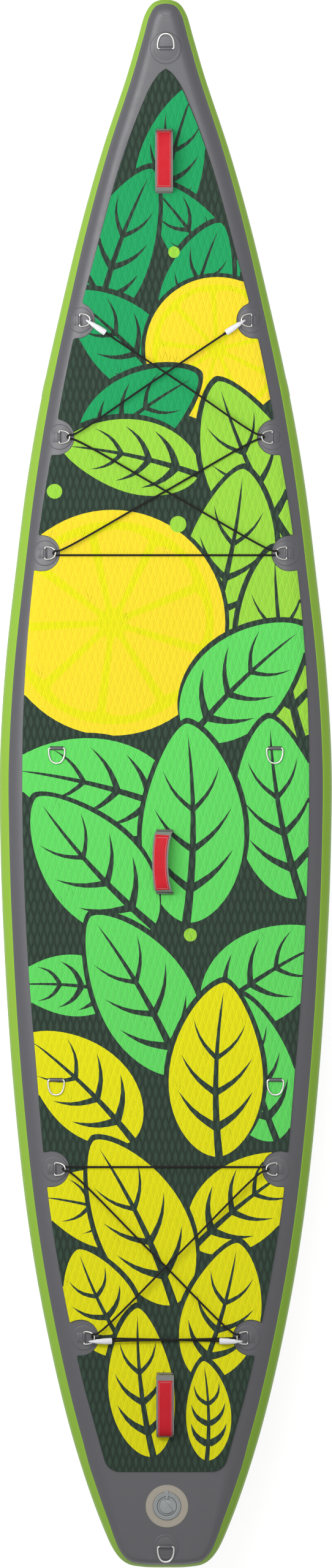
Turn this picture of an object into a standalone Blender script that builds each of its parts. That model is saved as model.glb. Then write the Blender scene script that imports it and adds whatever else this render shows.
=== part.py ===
"""Inflatable touring paddle board: drop-stitch hull, deck pad, rings, bungees, handles, valve and fin.

Metres, +Z up, nose towards +Y. The origin is on the flat underside, halfway along the board.
"""

import math

import bmesh
import bpy
from mathutils import Matrix, Vector

# Hull
THICKNESS = 0.150
SKIN = 0.0012
GAP = 0.0003
SEAM_ANGLE = 45.0
SEAM_GAP = 0.0013
NOSE_TIP = 1.9065
NOSE_ROCKER = 0.190
ROCKER_START = 0.45
ROCKER_POWER = 2.4
NOSE_STRETCH = 0.13
LONG_STRETCH = 0.25
RAIL_JOIN = 0.9545

# Right half of the plan outline, from the nose tip to the middle of the tail
OUTLINE = (
    (0.0000, 1.9065),
    (0.0300, 1.8985),
    (0.0477, 1.8752),
    (0.0663, 1.8156),
    (0.0931, 1.7262),
    (0.1534, 1.5474),
    (0.2048, 1.3687),
    (0.2488, 1.1899),
    (0.3015, 0.9545),
    (0.3382, 0.7430),
    (0.3650, 0.5300),
    (0.3903, 0.2961),
    (0.4040, 0.0600),
    (0.4035, -0.1000),
    (0.3963, -0.3296),
    (0.3747, -0.6871),
    (0.3374, -1.0447),
    (0.2920, -1.3128),
    (0.2287, -1.5810),
    (0.1594, -1.7895),
    (0.1199, -1.8729),
    (0.0930, -1.8960),
    (0.0550, -1.9036),
    (0.0000, -1.9050),
)

# How far the round rail reaches in from the edge, and half the hull's thickness, by place along Y
RAIL_DEPTH = ((1.9065, 0.042), (1.45, 0.052), (0.75, 0.075), (-1.60, 0.075), (-1.84, 0.036), (-1.905, 0.024))
HALF_THICKNESS = ((1.9065, 0.060), (1.60, 0.075), (-1.905, 0.075))
DECK_ANGLES = (90.0, 75.0, 60.0)
BOTTOM_ANGLES = (-67.5, -90.0)
RAIL_ANGLES = (22.5, 0.0, -22.5)

# Deck pad, right half of its outline from the tip backwards
PAD = 0.005
PAD_OUTLINE = (
    (0.0000, 1.7396),
    (0.0280, 1.7129),
    (0.0573, 1.6545),
    (0.1125, 1.5058),
    (0.1750, 1.2793),
    (0.2235, 1.0870),
    (0.2690, 0.8520),
    (0.3090, 0.6000),
    (0.3390, 0.2961),
    (0.3478, 0.0279),
    (0.3390, -0.3296),
    (0.3170, -0.6500),
    (0.2786, -1.0447),
    (0.2115, -1.4022),
    (0.1540, -1.6200),
)
PAD_TAIL = -1.6674
PAD_CORNER = 0.036
PAD_LEAN = 16.0
NOTCH_RADIUS = 0.0435
NOTCH_OUT = 0.008

# Patches and the webbing tabs welded on them
PATCH = 0.0012
PATCH_RADIUS = 0.031
NOSE_PATCH_RADIUS = 0.038
TAB_SKIN = 0.0010
TAB_PLAY = 0.0004
TAB_FOOT = 0.013

# D-rings: half the bar's length, depth, wire radius and half the tab's width
SMALL_RING = {"half": 0.0152, "depth": 0.0275, "wire": 0.00185, "tab": 0.0110, "corner": 0.003}
LARGE_RING = {"half": 0.0197, "depth": 0.0365, "wire": 0.0023, "tab": 0.0145, "corner": 0.004}
RING_ARC = 9

# Bars of the ten rings that hold the bungees, mirrored left and right
BUNGEE_RINGS = ((0.2080, 1.1355), (0.2585, 0.8520), (0.2935, 0.5694), (0.2705, -0.9300), (0.1990, -1.3411))
BUNGEE_RING_LIFT = 0.0152
NOSE_RING_Y = 1.7873
TAIL_RING_Y = -1.8500
SEAT_RINGS = {"front": (0.2655, 0.0945), "rear": (0.2670, -0.7130)}
SEAT_BAR_ABOVE_PAD = 0.0032

# Bungees and their hooks
BUNGEE = 0.005
WRAP_RADIUS = 0.0054
WRAP_SPREAD = 0.005
WRAP_LEAD = 0.009
CROSSING_LIFT = 0.0032
# Share along each of the two side-by-side aft strands and its height there
UPPER_STRAND = ((0.14, 0.1664), (0.45, 0.1664), (0.79, 0.1662), (0.89, 0.1602))
LOWER_STRAND = ((0.12, 0.1598), (0.35, 0.1598), (0.65, 0.1598), (0.91, 0.1600))
FORE_HOOK_AT = -0.005
AFT_HOOK_AT = -0.0082
AFT_WRAP_SHIFT = 0.0045
HOOK_RADIUS = 0.0062
# Along the cord from the ring's wire, height over the wire, and radius
HOOK_SHAPE = (
    (0.0460, 0.0046, 0.0060),
    (0.0300, 0.0066, 0.0062),
    (0.0120, 0.0076, 0.0045),
    (0.0000, 0.0062, 0.0030),
    (-0.0060, 0.0038, 0.0026),
    (-0.0084, 0.0004, 0.0022),
    (-0.0068, -0.0034, 0.0018),
    (-0.0036, -0.0052, 0.0015),
)

# Carry handles: middle of each along the board, its place across and its lean at rest in degrees
HANDLES = {"front": (-0.004, 1.5195, 0.0), "centre": (-0.002, -0.1820, 14.0), "rear": (-0.0015, -1.5045, 0.0)}
HANDLE_HALF = 0.0775
WEBBING = 0.0020
WEBBING_WIDTH = 0.043
STUB_WIDTH = 0.039
HANDLE_PIVOT = 0.012
HANDLE_RISE = 0.025
PANEL_WIDTH = 0.034
PANEL_HALF = 0.066
PANEL = 0.0030
HANDLE_PATCH = (0.056, 0.186)

# Valve
VALVE = (0.003, -1.7515)
VALVE_THROAT = 0.0242
VALVE_BARREL = 0.0272
VALVE_COLLAR = 0.034
VALVE_COLLAR_TOP = 0.004
VALVE_SEAT = -0.022
VALVE_POCKET = -0.046
LABEL_RING = 0.052
CAP_RADIUS = 0.0232
CAP_UNDERSIDE = -0.0012
CAP_HINGE = (0.036, 0.0055)
PIN_RADIUS = 0.0028
PIN_TOP = -0.012
SPRING_RADIUS = 0.0048
SPRING_WIRE = 0.0005
SPRING_TURNS = 3
SPRING_STEPS = 9

# Fin and its box, under the tail
FIN_BOX_Y = -1.530
FIN_BOX_HALF = 0.150
FIN_BOX_DEPTH = 0.025
FIN_BOX_WIDTH = 0.034
FIN_FLANGE = (0.078, 0.003)
SLOT_HALF = 0.127
SLOT_WIDTH = 0.0100
SLOT_TOP = -0.0045
GROOVE = (0.017, -0.0095, -0.0050)
FIN_TAB = 0.0088
FIN_SCREW_Y = -1.422
# Depth below the box, leading edge, trailing edge and thickness of each fin section
FIN_SECTIONS = (
    (0.0000, -1.444, -1.628, 0.0088),
    (0.0450, -1.464, -1.633, 0.0084),
    (0.0950, -1.496, -1.646, 0.0076),
    (0.1450, -1.545, -1.668, 0.0062),
    (0.1850, -1.598, -1.690, 0.0044),
    (0.2000, -1.632, -1.696, 0.0024),
)
FIN_POINTS = 6

PARTS = "inflatable_paddle_board"
CUTTERS = "cutters"


def clear_scene():
    for obj in list(bpy.data.objects):
        bpy.data.objects.remove(obj, do_unlink=True)
    for name in (PARTS, CUTTERS):
        bpy.context.scene.collection.children.link(bpy.data.collections.new(name))


def make_material(name, colour, roughness, metallic=0.0):
    material = bpy.data.materials.new(name)
    material.use_nodes = True
    shader = material.node_tree.nodes["Principled BSDF"]
    shader.inputs["Base Color"].default_value = (*colour, 1.0)
    shader.inputs["Roughness"].default_value = roughness
    shader.inputs["Metallic"].default_value = metallic
    return material


def make_materials():
    return {
        "deck": make_material("grey_pvc", (0.15, 0.15, 0.16), 0.5),
        "rail": make_material("green_pvc", (0.33, 0.60, 0.06), 0.45),
        "bottom": make_material("white_pvc", (0.70, 0.71, 0.70), 0.45),
        "core": make_material("drop_stitch", (0.60, 0.60, 0.56), 0.9),
        "pad": make_material("eva_foam", (0.05, 0.10, 0.07), 0.85),
        "steel": make_material("polished_steel", (0.75, 0.74, 0.72), 0.2, 1.0),
        "cord": make_material("black_cord", (0.01, 0.01, 0.01), 0.8),
        "hook": make_material("white_nylon", (0.85, 0.85, 0.88), 0.4),
        "webbing": make_material("grey_webbing", (0.26, 0.26, 0.25), 0.85),
        "panel": make_material("red_panel", (0.62, 0.02, 0.03), 0.6),
        "label": make_material("beige_pvc", (0.55, 0.50, 0.46), 0.5),
        "valve": make_material("grey_valve", (0.34, 0.36, 0.36), 0.35),
        "fin": make_material("black_nylon", (0.02, 0.02, 0.02), 0.35),
    }


def add_object(name, data, material, collection=PARTS):
    obj = bpy.data.objects.new(name, data)
    bpy.data.collections[collection].objects.link(obj)
    if material:
        data.materials.append(material)
    if collection == CUTTERS:
        obj.hide_render = True
        obj.display_type = "WIRE"
    return obj


def mesh_from(bm, name, material, collection=PARTS, smooth=True):
    mesh = bpy.data.meshes.new(name)
    bm.to_mesh(mesh)
    bm.free()
    if smooth:
        mesh.shade_smooth()
        mesh.set_sharp_from_angle(angle=math.radians(35))
    return add_object(name, mesh, material, collection)


def boolean(obj, other, operation):
    modifier = obj.modifiers.new(operation.lower(), "BOOLEAN")
    modifier.operation = operation
    modifier.object = other


def as_mesh(curve, collection=CUTTERS):
    """The curve's closed surface as a mesh object in the curve's place."""
    bpy.context.view_layer.update()
    graph = bpy.context.evaluated_depsgraph_get()
    mesh = bpy.data.meshes.new_from_object(curve.evaluated_get(graph))
    name = curve.name
    place = curve.matrix_world.copy()
    bpy.data.objects.remove(curve, do_unlink=True)
    bm = bmesh.new()
    bm.from_mesh(mesh)
    bmesh.ops.remove_doubles(bm, verts=bm.verts, dist=1e-6)
    bm.to_mesh(mesh)
    bm.free()
    obj = add_object(name, mesh, None, collection)
    obj.matrix_world = place
    return obj


def box_into(bm, low, high, place=None):
    """Adds a closed box between two corners, in the frame of place."""
    low, high = Vector(low), Vector(high)
    size = high - low
    matrix = Matrix.Translation((low + high) / 2) @ Matrix.Diagonal((*size, 1.0))
    bmesh.ops.create_cube(bm, size=1.0, matrix=(place or Matrix()) @ matrix)


def cylinder_into(bm, radius, low, high, sides, place=None):
    """Adds a closed cylinder round Z between two heights, in the frame of place."""
    matrix = (place or Matrix()) @ Matrix.Translation((0, 0, (low + high) / 2))
    bmesh.ops.create_cone(
        bm,
        cap_ends=True,
        segments=sides,
        radius1=radius,
        radius2=radius,
        depth=high - low,
        matrix=matrix,
    )


def flat_plate(name, outlines, low, high, place, material=None, collection=CUTTERS):
    """A plate between two heights, with the first outline outside and the others as holes."""
    curve = bpy.data.curves.new(name, "CURVE")
    curve.dimensions = "2D"
    curve.fill_mode = "BOTH"
    curve.extrude = (high - low) / 2
    for outline in outlines:
        spline = curve.splines.new("POLY")
        spline.points.add(len(outline) - 1)
        for point, (x, y) in zip(spline.points, outline):
            point.co = (x, y, 0.0, 1.0)
        spline.use_cyclic_u = True
    obj = add_object(name, curve, material, collection)
    obj.matrix_world = place @ Matrix.Translation((0, 0, (low + high) / 2))
    return as_mesh(obj, collection)


def tube(name, points, radius, material, cyclic=False, radii=None, resolution=2):
    """A round wire, cord or spring through the points."""
    curve = bpy.data.curves.new(name, "CURVE")
    curve.dimensions = "3D"
    curve.bevel_depth = radius
    curve.bevel_resolution = resolution
    curve.use_fill_caps = True
    spline = curve.splines.new("POLY")
    spline.points.add(len(points) - 1)
    for index, point in enumerate(points):
        spline.points[index].co = (*point, 1.0)
        if radii:
            spline.points[index].radius = radii[index] / radius
    spline.use_cyclic_u = cyclic
    return add_object(name, curve, material)


def turned(name, profile, material, sides, collection=PARTS):
    """A solid turned round Z from a closed profile of (radius, height) points."""
    bm = bmesh.new()
    verts = [bm.verts.new((radius, 0.0, height)) for radius, height in profile]
    for index, vert in enumerate(verts):
        bm.edges.new((vert, verts[(index + 1) % len(verts)]))
    obj = mesh_from(bm, name, material, collection, smooth=False)
    screw = obj.modifiers.new("turn", "SCREW")
    screw.axis = "Z"
    screw.steps = sides
    screw.render_steps = sides
    screw.use_merge_vertices = True
    screw.merge_threshold = 0.00001
    return obj


def circle(radius, sides, centre=(0.0, 0.0)):
    angles = [2 * math.pi * step / sides for step in range(sides)]
    return [(centre[0] + radius * math.cos(a), centre[1] + radius * math.sin(a)) for a in angles]


def between(table, y):
    """Value at y from a short table of (y, value) pairs that runs from the nose to the tail."""
    for (high, first), (low, second) in zip(table, table[1:]):
        if y >= low:
            return first + (second - first) * min(1.0, max(0.0, (high - y) / (high - low)))
    return table[-1][1]


def on_curve(points, position, mirrored=False):
    """Point on the smooth curve through the points. A mirrored curve carries on across X = 0."""
    index = min(int(position), len(points) - 2)
    share = position - index

    def ghost(end, near):
        if mirrored and not end.x:
            return Vector((-near.x, near.y))
        return 2 * end - near

    a = Vector(points[index])
    b = Vector(points[index + 1])
    before = Vector(points[index - 1]) if index else ghost(a, b)
    after = Vector(points[index + 2]) if index + 2 < len(points) else ghost(b, a)
    knots = [0.0]
    for first, second in ((before, a), (a, b), (b, after)):
        knots.append(knots[-1] + max(1e-6, (second - first).length) ** 0.5)
    t = knots[1] + share * (knots[2] - knots[1])

    def mix(first, second, low, high):
        return first + (second - first) * ((t - low) / (high - low))

    one = mix(before, a, knots[0], knots[1])
    two = mix(a, b, knots[1], knots[2])
    three = mix(b, after, knots[2], knots[3])
    return mix(mix(one, two, knots[0], knots[2]), mix(two, three, knots[1], knots[3]), knots[1], knots[2])


def smooth_points(points, most, mirrored=False):
    """Points read from the smooth curve, closer than most apart where a stretch is long."""
    found = []
    for index in range(len(points) - 1):
        length = (Vector(points[index + 1]) - Vector(points[index])).length
        pieces = max(1, math.ceil(length / most))
        found += [on_curve(points, index + step / pieces, mirrored) for step in range(pieces)]
    return found + [Vector(points[-1])]


def rocker(y):
    share = (y - ROCKER_START) / (NOSE_TIP - ROCKER_START)
    return NOSE_ROCKER * max(0.0, share) ** ROCKER_POWER


def rocker_slope(y):
    span = NOSE_TIP - ROCKER_START
    return NOSE_ROCKER * ROCKER_POWER / span * max(0.0, (y - ROCKER_START) / span) ** (ROCKER_POWER - 1)


def middle_height(y):
    return rocker(y) + THICKNESS / 2


def deck_height(y):
    return middle_height(y) + between(HALF_THICKNESS, y)


def make_stations():
    """Places round the right edge: the point, the way in from it, rail depth and half thickness."""
    stations = []
    last = len(OUTLINE) - 1
    for index in range(last):
        length = (Vector(OUTLINE[index + 1]) - Vector(OUTLINE[index])).length
        most = NOSE_STRETCH if OUTLINE[index][1] > ROCKER_START else LONG_STRETCH
        pieces = 2 if length > most else 1
        for step in range(pieces):
            stations.append(make_station(index + step / pieces))
    return stations + [make_station(last)]


def make_station(position):
    edge = on_curve(OUTLINE, position, True)
    step = 0.01
    last = len(OUTLINE) - 1
    ahead = on_curve(OUTLINE, min(last, position + step), True)
    behind = on_curve(OUTLINE, max(0, position - step), True)
    run = (ahead - behind).normalized()
    inward = Vector((run.y, -run.x))
    if position in (0, last):
        inward = Vector((0.0, -1.0 if position == 0 else 1.0))
    return {
        "edge": edge,
        "inward": inward,
        "rail": between(RAIL_DEPTH, edge.y),
        "half": between(HALF_THICKNESS, edge.y),
    }


def hull_point(station, degrees, lift=0.0):
    """Point on the hull, by the angle round the rail: 90 is the deck, 0 the edge, -90 the bottom."""
    turn = math.radians(degrees)
    reach = station["rail"] - (station["rail"] + lift) * math.cos(turn)
    place = station["edge"] + station["inward"] * reach
    height = middle_height(place.y) + (station["half"] + lift) * math.sin(turn)
    return Vector((place.x, place.y, height))


def centre_point(station, side, lift=0.0):
    """Point on the centre line of the deck or the bottom, beside the flat's edge."""
    flat = hull_point(station, 90.0 * side, lift)
    return Vector((0.0, flat.y, flat.z))


def seam_angle(station, side):
    """Angle of a skin's edge, half the seam's gap away from the seam."""
    turn = math.radians(SEAM_ANGLE)
    speed = math.hypot(station["rail"] * math.sin(turn), station["half"] * math.cos(turn))
    return SEAM_ANGLE + side * math.degrees(SEAM_GAP / 2 / speed)


def half_surface(name, rows, material, collection=PARTS):
    """The right half of a hull surface from rows of points, mirrored across the centre line."""
    bm = bmesh.new()
    grid = [[bm.verts.new(point) for point in row] for row in rows]
    for first, second in zip(grid, grid[1:]):
        for column in range(len(first) - 1):
            bm.faces.new((first[column], second[column], second[column + 1]))
            bm.faces.new((first[column], second[column + 1], first[column + 1]))
    bmesh.ops.remove_doubles(bm, verts=bm.verts, dist=1e-5)
    obj = mesh_from(bm, name, material, collection)
    mirror = obj.modifiers.new("other half", "MIRROR")
    mirror.merge_threshold = 0.0001
    return obj


def thicken(obj, thickness, outward):
    solidify = obj.modifiers.new("thickness", "SOLIDIFY")
    solidify.thickness = thickness
    solidify.offset = 1.0 if outward else -1.0
    solidify.use_even_offset = True
    solidify.use_quality_normals = True


def deck_layer(name, stations, lift, thickness, material, collection=PARTS, reach=None):
    """A layer that lies on the deck, optionally only on the stretch between two places along Y."""
    low, high = reach or (-9.0, 9.0)
    inside = [index for index, station in enumerate(stations) if low < station["edge"].y < high]
    first = max(0, inside[0] - 1)
    rows = []
    for station in stations[first : inside[-1] + 2]:
        row = [centre_point(station, 1, lift)]
        row += [hull_point(station, degrees, lift) for degrees in DECK_ANGLES]
        rows.append(row + [hull_point(station, seam_angle(station, 1), lift)])
    obj = half_surface(name, rows, material, collection)
    thicken(obj, thickness, True)
    return obj


def deck_surface(stations, x, y):
    """Point and outward normal of the deck at a place in plan, on the flat or on the rail's curve."""
    for first, second in zip(stations, stations[1:]):
        if first["edge"].y >= y >= second["edge"].y:
            break
    run = second["edge"] - first["edge"]
    share = (y - first["edge"].y) / run.y
    width = first["edge"].x + run.x * share
    lean = Vector((-run.y, run.x)).normalized()
    rail = first["rail"] + (second["rail"] - first["rail"]) * share
    half = between(HALF_THICKNESS, y)
    past = rail - (width - abs(x)) * lean.x
    if past <= 0:
        return Vector((x, y, deck_height(y))), Vector((0, -rocker_slope(y), 1)).normalized()
    drop = math.sqrt(1 - (past / rail) ** 2)
    fall = half * past / (rail * rail * drop)
    side = math.copysign(1.0, x)
    normal = Vector((side * fall * lean.x, -rocker_slope(y) + fall * lean.y, 1))
    return Vector((x, y, middle_height(y) + half * drop)), normal.normalized()


def frame_at(point, forward, normal):
    """Frame with X along forward, as near as the normal allows, and Z along the normal."""
    across = normal.cross(forward).normalized()
    along = across.cross(normal)
    matrix = Matrix((along, across, normal)).transposed().to_4x4()
    matrix.translation = point
    return matrix


def make_hull(stations, colours):
    deck_rows, bottom_rows, rail_rows, core_rows = [], [], [], []
    inset = -(SKIN + 3 * GAP)
    for station in stations:
        upper = [hull_point(station, degrees) for degrees in DECK_ANGLES]
        deck_rows.append([centre_point(station, 1), *upper, hull_point(station, seam_angle(station, 1))])
        lower = [hull_point(station, degrees) for degrees in BOTTOM_ANGLES]
        low_seam = hull_point(station, -seam_angle(station, 1))
        bottom_rows.append([low_seam, *lower, centre_point(station, -1)])
        edge = seam_angle(station, -1)
        rail_rows.append([hull_point(station, degrees) for degrees in (edge, *RAIL_ANGLES, -edge)])
        core = [*DECK_ANGLES, SEAM_ANGLE, *RAIL_ANGLES, -SEAM_ANGLE, *BOTTOM_ANGLES]
        core_rows.append(
            [
                centre_point(station, 1, inset),
                *[hull_point(station, degrees, inset) for degrees in core],
                centre_point(station, -1, inset),
            ]
        )
    join = min(range(len(stations)), key=lambda index: abs(stations[index]["edge"].y - RAIL_JOIN))
    nose_rows = rail_rows[: join + 1]
    body_rows = rail_rows[join:]
    body_rows[0] = [point + Vector((0, -SEAM_GAP / 2, 0)) for point in body_rows[0]]
    skins = {
        "deck_skin": (deck_rows, "deck"),
        "bottom_skin": (bottom_rows, "bottom"),
        "rail_nose": (nose_rows, "rail"),
        "rail_body": (body_rows, "rail"),
    }
    made = {}
    for name, (rows, colour) in skins.items():
        made[name] = half_surface(name, rows, colours[colour])
        thicken(made[name], SKIN, False)
    core = half_surface("dropstitch_core", core_rows, colours["core"])
    bm = bmesh.new()
    cylinder_into(bm, VALVE_COLLAR + 0.003, VALVE_POCKET, 0.02, 24, valve_frame())
    boolean(core, mesh_from(bm, "valve_pocket", None, CUTTERS), "DIFFERENCE")
    bm = bmesh.new()
    cylinder_into(bm, VALVE_BARREL + 0.0008, -0.02, 0.02, 28, valve_frame())
    boolean(made["deck_skin"], mesh_from(bm, "valve_hole", None, CUTTERS), "DIFFERENCE")


def pad_outline():
    """The whole outline of the pad, with round rear corners that carry on from its leaning sides."""
    side = smooth_points(PAD_OUTLINE, 0.20, True)
    lean = math.radians(PAD_LEAN)
    level = PAD_TAIL + PAD_CORNER
    half = side[-1].x + math.tan(lean) * (level - side[-1].y)
    centre = Vector((half - PAD_CORNER / math.cos(lean), level))
    for degrees in (-PAD_LEAN, -40, -65, -90):
        turn = math.radians(degrees)
        side.append(centre + PAD_CORNER * Vector((math.cos(turn), math.sin(turn))))
    return [(p.x, p.y) for p in side] + [(-p.x, p.y) for p in reversed(side[1:])]


def make_pad(stations, colours):
    pad = deck_layer("deck_pad", stations, GAP, PAD, colours["pad"])
    boolean(pad, flat_plate("pad_shape", [pad_outline()], 0.0, 0.4, Matrix()), "INTERSECT")
    bm = bmesh.new()
    for x, y in BUNGEE_RINGS:
        for side in (-1, 1):
            place = Matrix.Translation((side * (x + NOTCH_OUT), y, 0))
            cylinder_into(bm, NOTCH_RADIUS, 0.1, 0.3, 20, place)
    for x, y in SEAT_RINGS.values():
        for side in (-1, 1):
            place = Matrix.Translation((side * x, y, THICKNESS))
            half = LARGE_RING["tab"] + 0.001
            box_into(bm, (-half, -0.008, -0.01), (half, TAB_FOOT + 0.002, 0.02), place)
    for x, y, _ in HANDLES.values():
        place = handle_frame(x, y)
        for end in (-1, 1):
            middle = end * (HANDLE_HALF - WEBBING / 2)
            half = STUB_WIDTH / 2 + 0.001
            box_into(bm, (-half, middle - 0.002, -0.01), (half, middle + 0.002, 0.02), place)
    boolean(pad, mesh_from(bm, "pad_openings", None, CUTTERS, smooth=False), "DIFFERENCE")
    bm = bmesh.new()
    for x, y in SEAT_RINGS.values():
        for side in (-1, 1):
            place = Matrix.Translation((side * x, y, THICKNESS))
            cylinder_into(bm, PATCH_RADIUS + 0.0012, -0.004, PATCH + 3 * GAP, 16, place)
    for x, y, _ in HANDLES.values():
        half = Vector((HANDLE_PATCH[0] / 2 + 0.001, HANDLE_PATCH[1] / 2 * math.hypot(1, rocker_slope(y)) + 0.0015))
        bow = rocker(y + half.y) + rocker(y - half.y) - 2 * rocker(y)
        top = PATCH + 3 * GAP + bow / 2
        box_into(bm, (-half.x, -half.y, -0.004), (half.x, half.y, top), handle_frame(x, y))
    boolean(pad, mesh_from(bm, "pad_pockets", None, CUTTERS, smooth=False), "DIFFERENCE")


def ring_points(ring):
    """The ring's wire in its own plane: the bar lies on Y, the loop reaches along X."""
    half, depth, corner = ring["half"], ring["depth"], ring["corner"]
    loop = []
    for step in range(RING_ARC + 1):
        turn = math.pi * step / RING_ARC
        loop.append((corner + (depth - corner) * math.sin(turn), half * math.cos(turn), 0.0))
    ease = corner * 0.3
    foot = [(ease, -half + ease, 0.0), (0.0, -half + corner, 0.0)]
    head = [(0.0, half - corner, 0.0), (ease, half - ease, 0.0)]
    return loop + foot + head


def add_ring(name, ring, frame, colours):
    obj = tube(name, ring_points(ring), ring["wire"], colours["steel"], cyclic=True)
    obj.matrix_world = frame
    return obj


def add_patch(name, stations, ring, place, bar_height, radius, colours):
    """A round patch on the deck with a webbing tab that holds the ring's bar, as one welded piece."""
    y = place.translation.y
    patch = deck_layer(name, stations, GAP, PATCH, colours["deck"], reach=(y - 0.15, y + 0.15))
    bm = bmesh.new()
    upright = Matrix.Translation((place.translation.x, y, 0))
    cylinder_into(bm, radius, 0.05, 0.45, 20, upright)
    boolean(patch, mesh_from(bm, name + "_disc", None, CUTTERS), "INTERSECT")
    hole = ring["wire"] + TAB_PLAY
    outer = hole + TAB_SKIN
    base = GAP + PATCH / 2
    outline = [(outer, base), (outer, bar_height)]
    for degrees in (30, 60, 90, 120, 150):
        turn = math.radians(degrees)
        outline.append((outer * math.cos(turn), bar_height + outer * math.sin(turn)))
    outline += [(-outer, bar_height * 0.7), (-TAB_FOOT, base + 0.0022), (-TAB_FOOT, base)]
    sideways = place @ Matrix.Rotation(math.pi / 2, 4, "X")
    plate = [outline, circle(hole, 10, (0.0, bar_height))]
    tab = flat_plate(name + "_tab", plate, -ring["tab"], ring["tab"], sideways)
    boolean(patch, tab, "UNION")


def tilted(place, bar_height, degrees):
    """Frame of a ring whose bar is at this height over the place and whose loop is raised."""
    up = Matrix.Translation((0, 0, bar_height))
    return place @ up @ Matrix.Rotation(math.radians(-degrees), 4, "Y")


def resting_tilt(ring, bar_over):
    """Tilt at which the loop's end comes down to the surface that the bar stands over."""
    return -math.degrees(math.asin((bar_over - ring["wire"] - 2 * GAP) / ring["depth"]))


def bar_over_patch(ring):
    return GAP + PATCH + TAB_SKIN + TAB_PLAY + ring["wire"]


def make_end_rings(stations, colours):
    ends = (("nose_ring", NOSE_RING_Y, 1, NOSE_PATCH_RADIUS), ("tail_ring", TAIL_RING_Y, -1, PATCH_RADIUS))
    for name, y, way, radius in ends:
        point, normal = deck_surface(stations, 0.0, y)
        place = frame_at(point, Vector((0, way, 0)), normal)
        height = bar_over_patch(LARGE_RING)
        add_patch(name + "_patch", stations, LARGE_RING, place, height, radius, colours)
        tilt = resting_tilt(LARGE_RING, height - GAP - PATCH)
        add_ring(name, LARGE_RING, tilted(place, height, tilt), colours)


def make_seat_rings(stations, colours):
    for end, (x, y) in SEAT_RINGS.items():
        for name, side in (("left", -1), ("right", 1)):
            point, normal = deck_surface(stations, side * x, y)
            place = frame_at(point, Vector((0, -1, 0)), normal)
            height = GAP + PAD + SEAT_BAR_ABOVE_PAD
            patch = f"seat_patch_{end}_{name}"
            add_patch(patch, stations, LARGE_RING, place, height, PATCH_RADIUS, colours)
            tilt = resting_tilt(LARGE_RING, SEAT_BAR_ABOVE_PAD)
            add_ring(f"seat_ring_{end}_{name}", LARGE_RING, tilted(place, height, tilt), colours)


def laced_tilt(place, bar_height, loop_height):
    """Tilt in degrees at which the loop's end stands at this height, held up by its cord."""
    bar = place @ Vector((0, 0, bar_height))
    rise = (loop_height - bar.z) / SMALL_RING["depth"]
    ahead, up = place[2][0], place[2][2]
    return math.degrees(math.asin(rise / math.hypot(ahead, up)) - math.atan2(ahead, up))


def make_bungee_rings(stations, colours):
    frames = {}
    for index, (x, y) in enumerate(BUNGEE_RINGS, start=1):
        for name, side in (("left", -1), ("right", 1)):
            point, normal = deck_surface(stations, side * x, y)
            place = frame_at(point, Vector((-side, 0, 0)), normal)
            key = f"{name}_{index}"
            patch = "bungee_patch_" + key
            height = bar_over_patch(SMALL_RING)
            add_patch(patch, stations, SMALL_RING, place, height, PATCH_RADIUS, colours)
            tilt = laced_tilt(place, height, deck_height(y) + BUNGEE_RING_LIFT)
            frames[key] = tilted(place, height, tilt)
            add_ring("bungee_ring_" + key, SMALL_RING, frames[key], colours)
    return frames


def wire_at(frame, along):
    """Point of the loop's wire this far from its middle, and the level way into the ring."""
    half, corner = SMALL_RING["half"], SMALL_RING["corner"]
    depth = SMALL_RING["depth"] - corner
    across = frame.to_3x3() @ Vector((0, 1, 0))
    sideways = along * math.copysign(1.0, across.y)
    reach = depth * math.sqrt(1 - (along / half) ** 2)
    point = frame @ Vector((corner + reach, sideways, 0))
    inward = frame.to_3x3() @ Vector((-reach / depth**2, -sideways / half**2, 0))
    inward.z = 0.0
    return point, inward.normalized()


def wrap(frame, over_side, shift=0.0):
    """The cord's turn through a ring: over the wire on one side, down inside, back underneath."""
    points = []
    for degrees in (90, 45, 0, -45, -90):
        turn = math.radians(degrees)
        centre, inward = wire_at(frame, over_side * WRAP_SPREAD * degrees / 90 + shift)
        points.append(centre + WRAP_RADIUS * (inward * math.cos(turn) + Vector((0, 0, 1)) * math.sin(turn)))
    lead = Vector((math.copysign(WRAP_LEAD, frame.translation.x), 0, 0))
    return [points[0] - lead, *points, points[-1] - lead]


def crossing(first, second, lift):
    """Middle of a strand, a little over or under the strand that it crosses."""
    return (first + second) / 2 + Vector((0, 0, lift))


def passing(first, second, heights):
    """Points of a strand at shares of its length and at their own heights."""
    points = [(first.lerp(second, share), height) for share, height in heights]
    return [Vector((point.x, point.y, height)) for point, height in points]


def add_hook(name, frame, along, target, colours):
    """A plastic hook over the ring's wire, in line with its cord. Returns the cord's end."""
    wire, _ = wire_at(frame, along)
    run = (target - wire).to_2d().normalized().to_3d()
    fall = (target.z - wire.z) / (target - wire).to_2d().length
    points = [wire + run * d + Vector((0, 0, h + fall * max(0.0, d))) for d, h, _ in HOOK_SHAPE]
    tube(name, points, HOOK_RADIUS, colours["hook"], radii=[r for _, _, r in HOOK_SHAPE])
    return points[0] + (points[0] - points[1]).normalized() * GAP * 4


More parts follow.
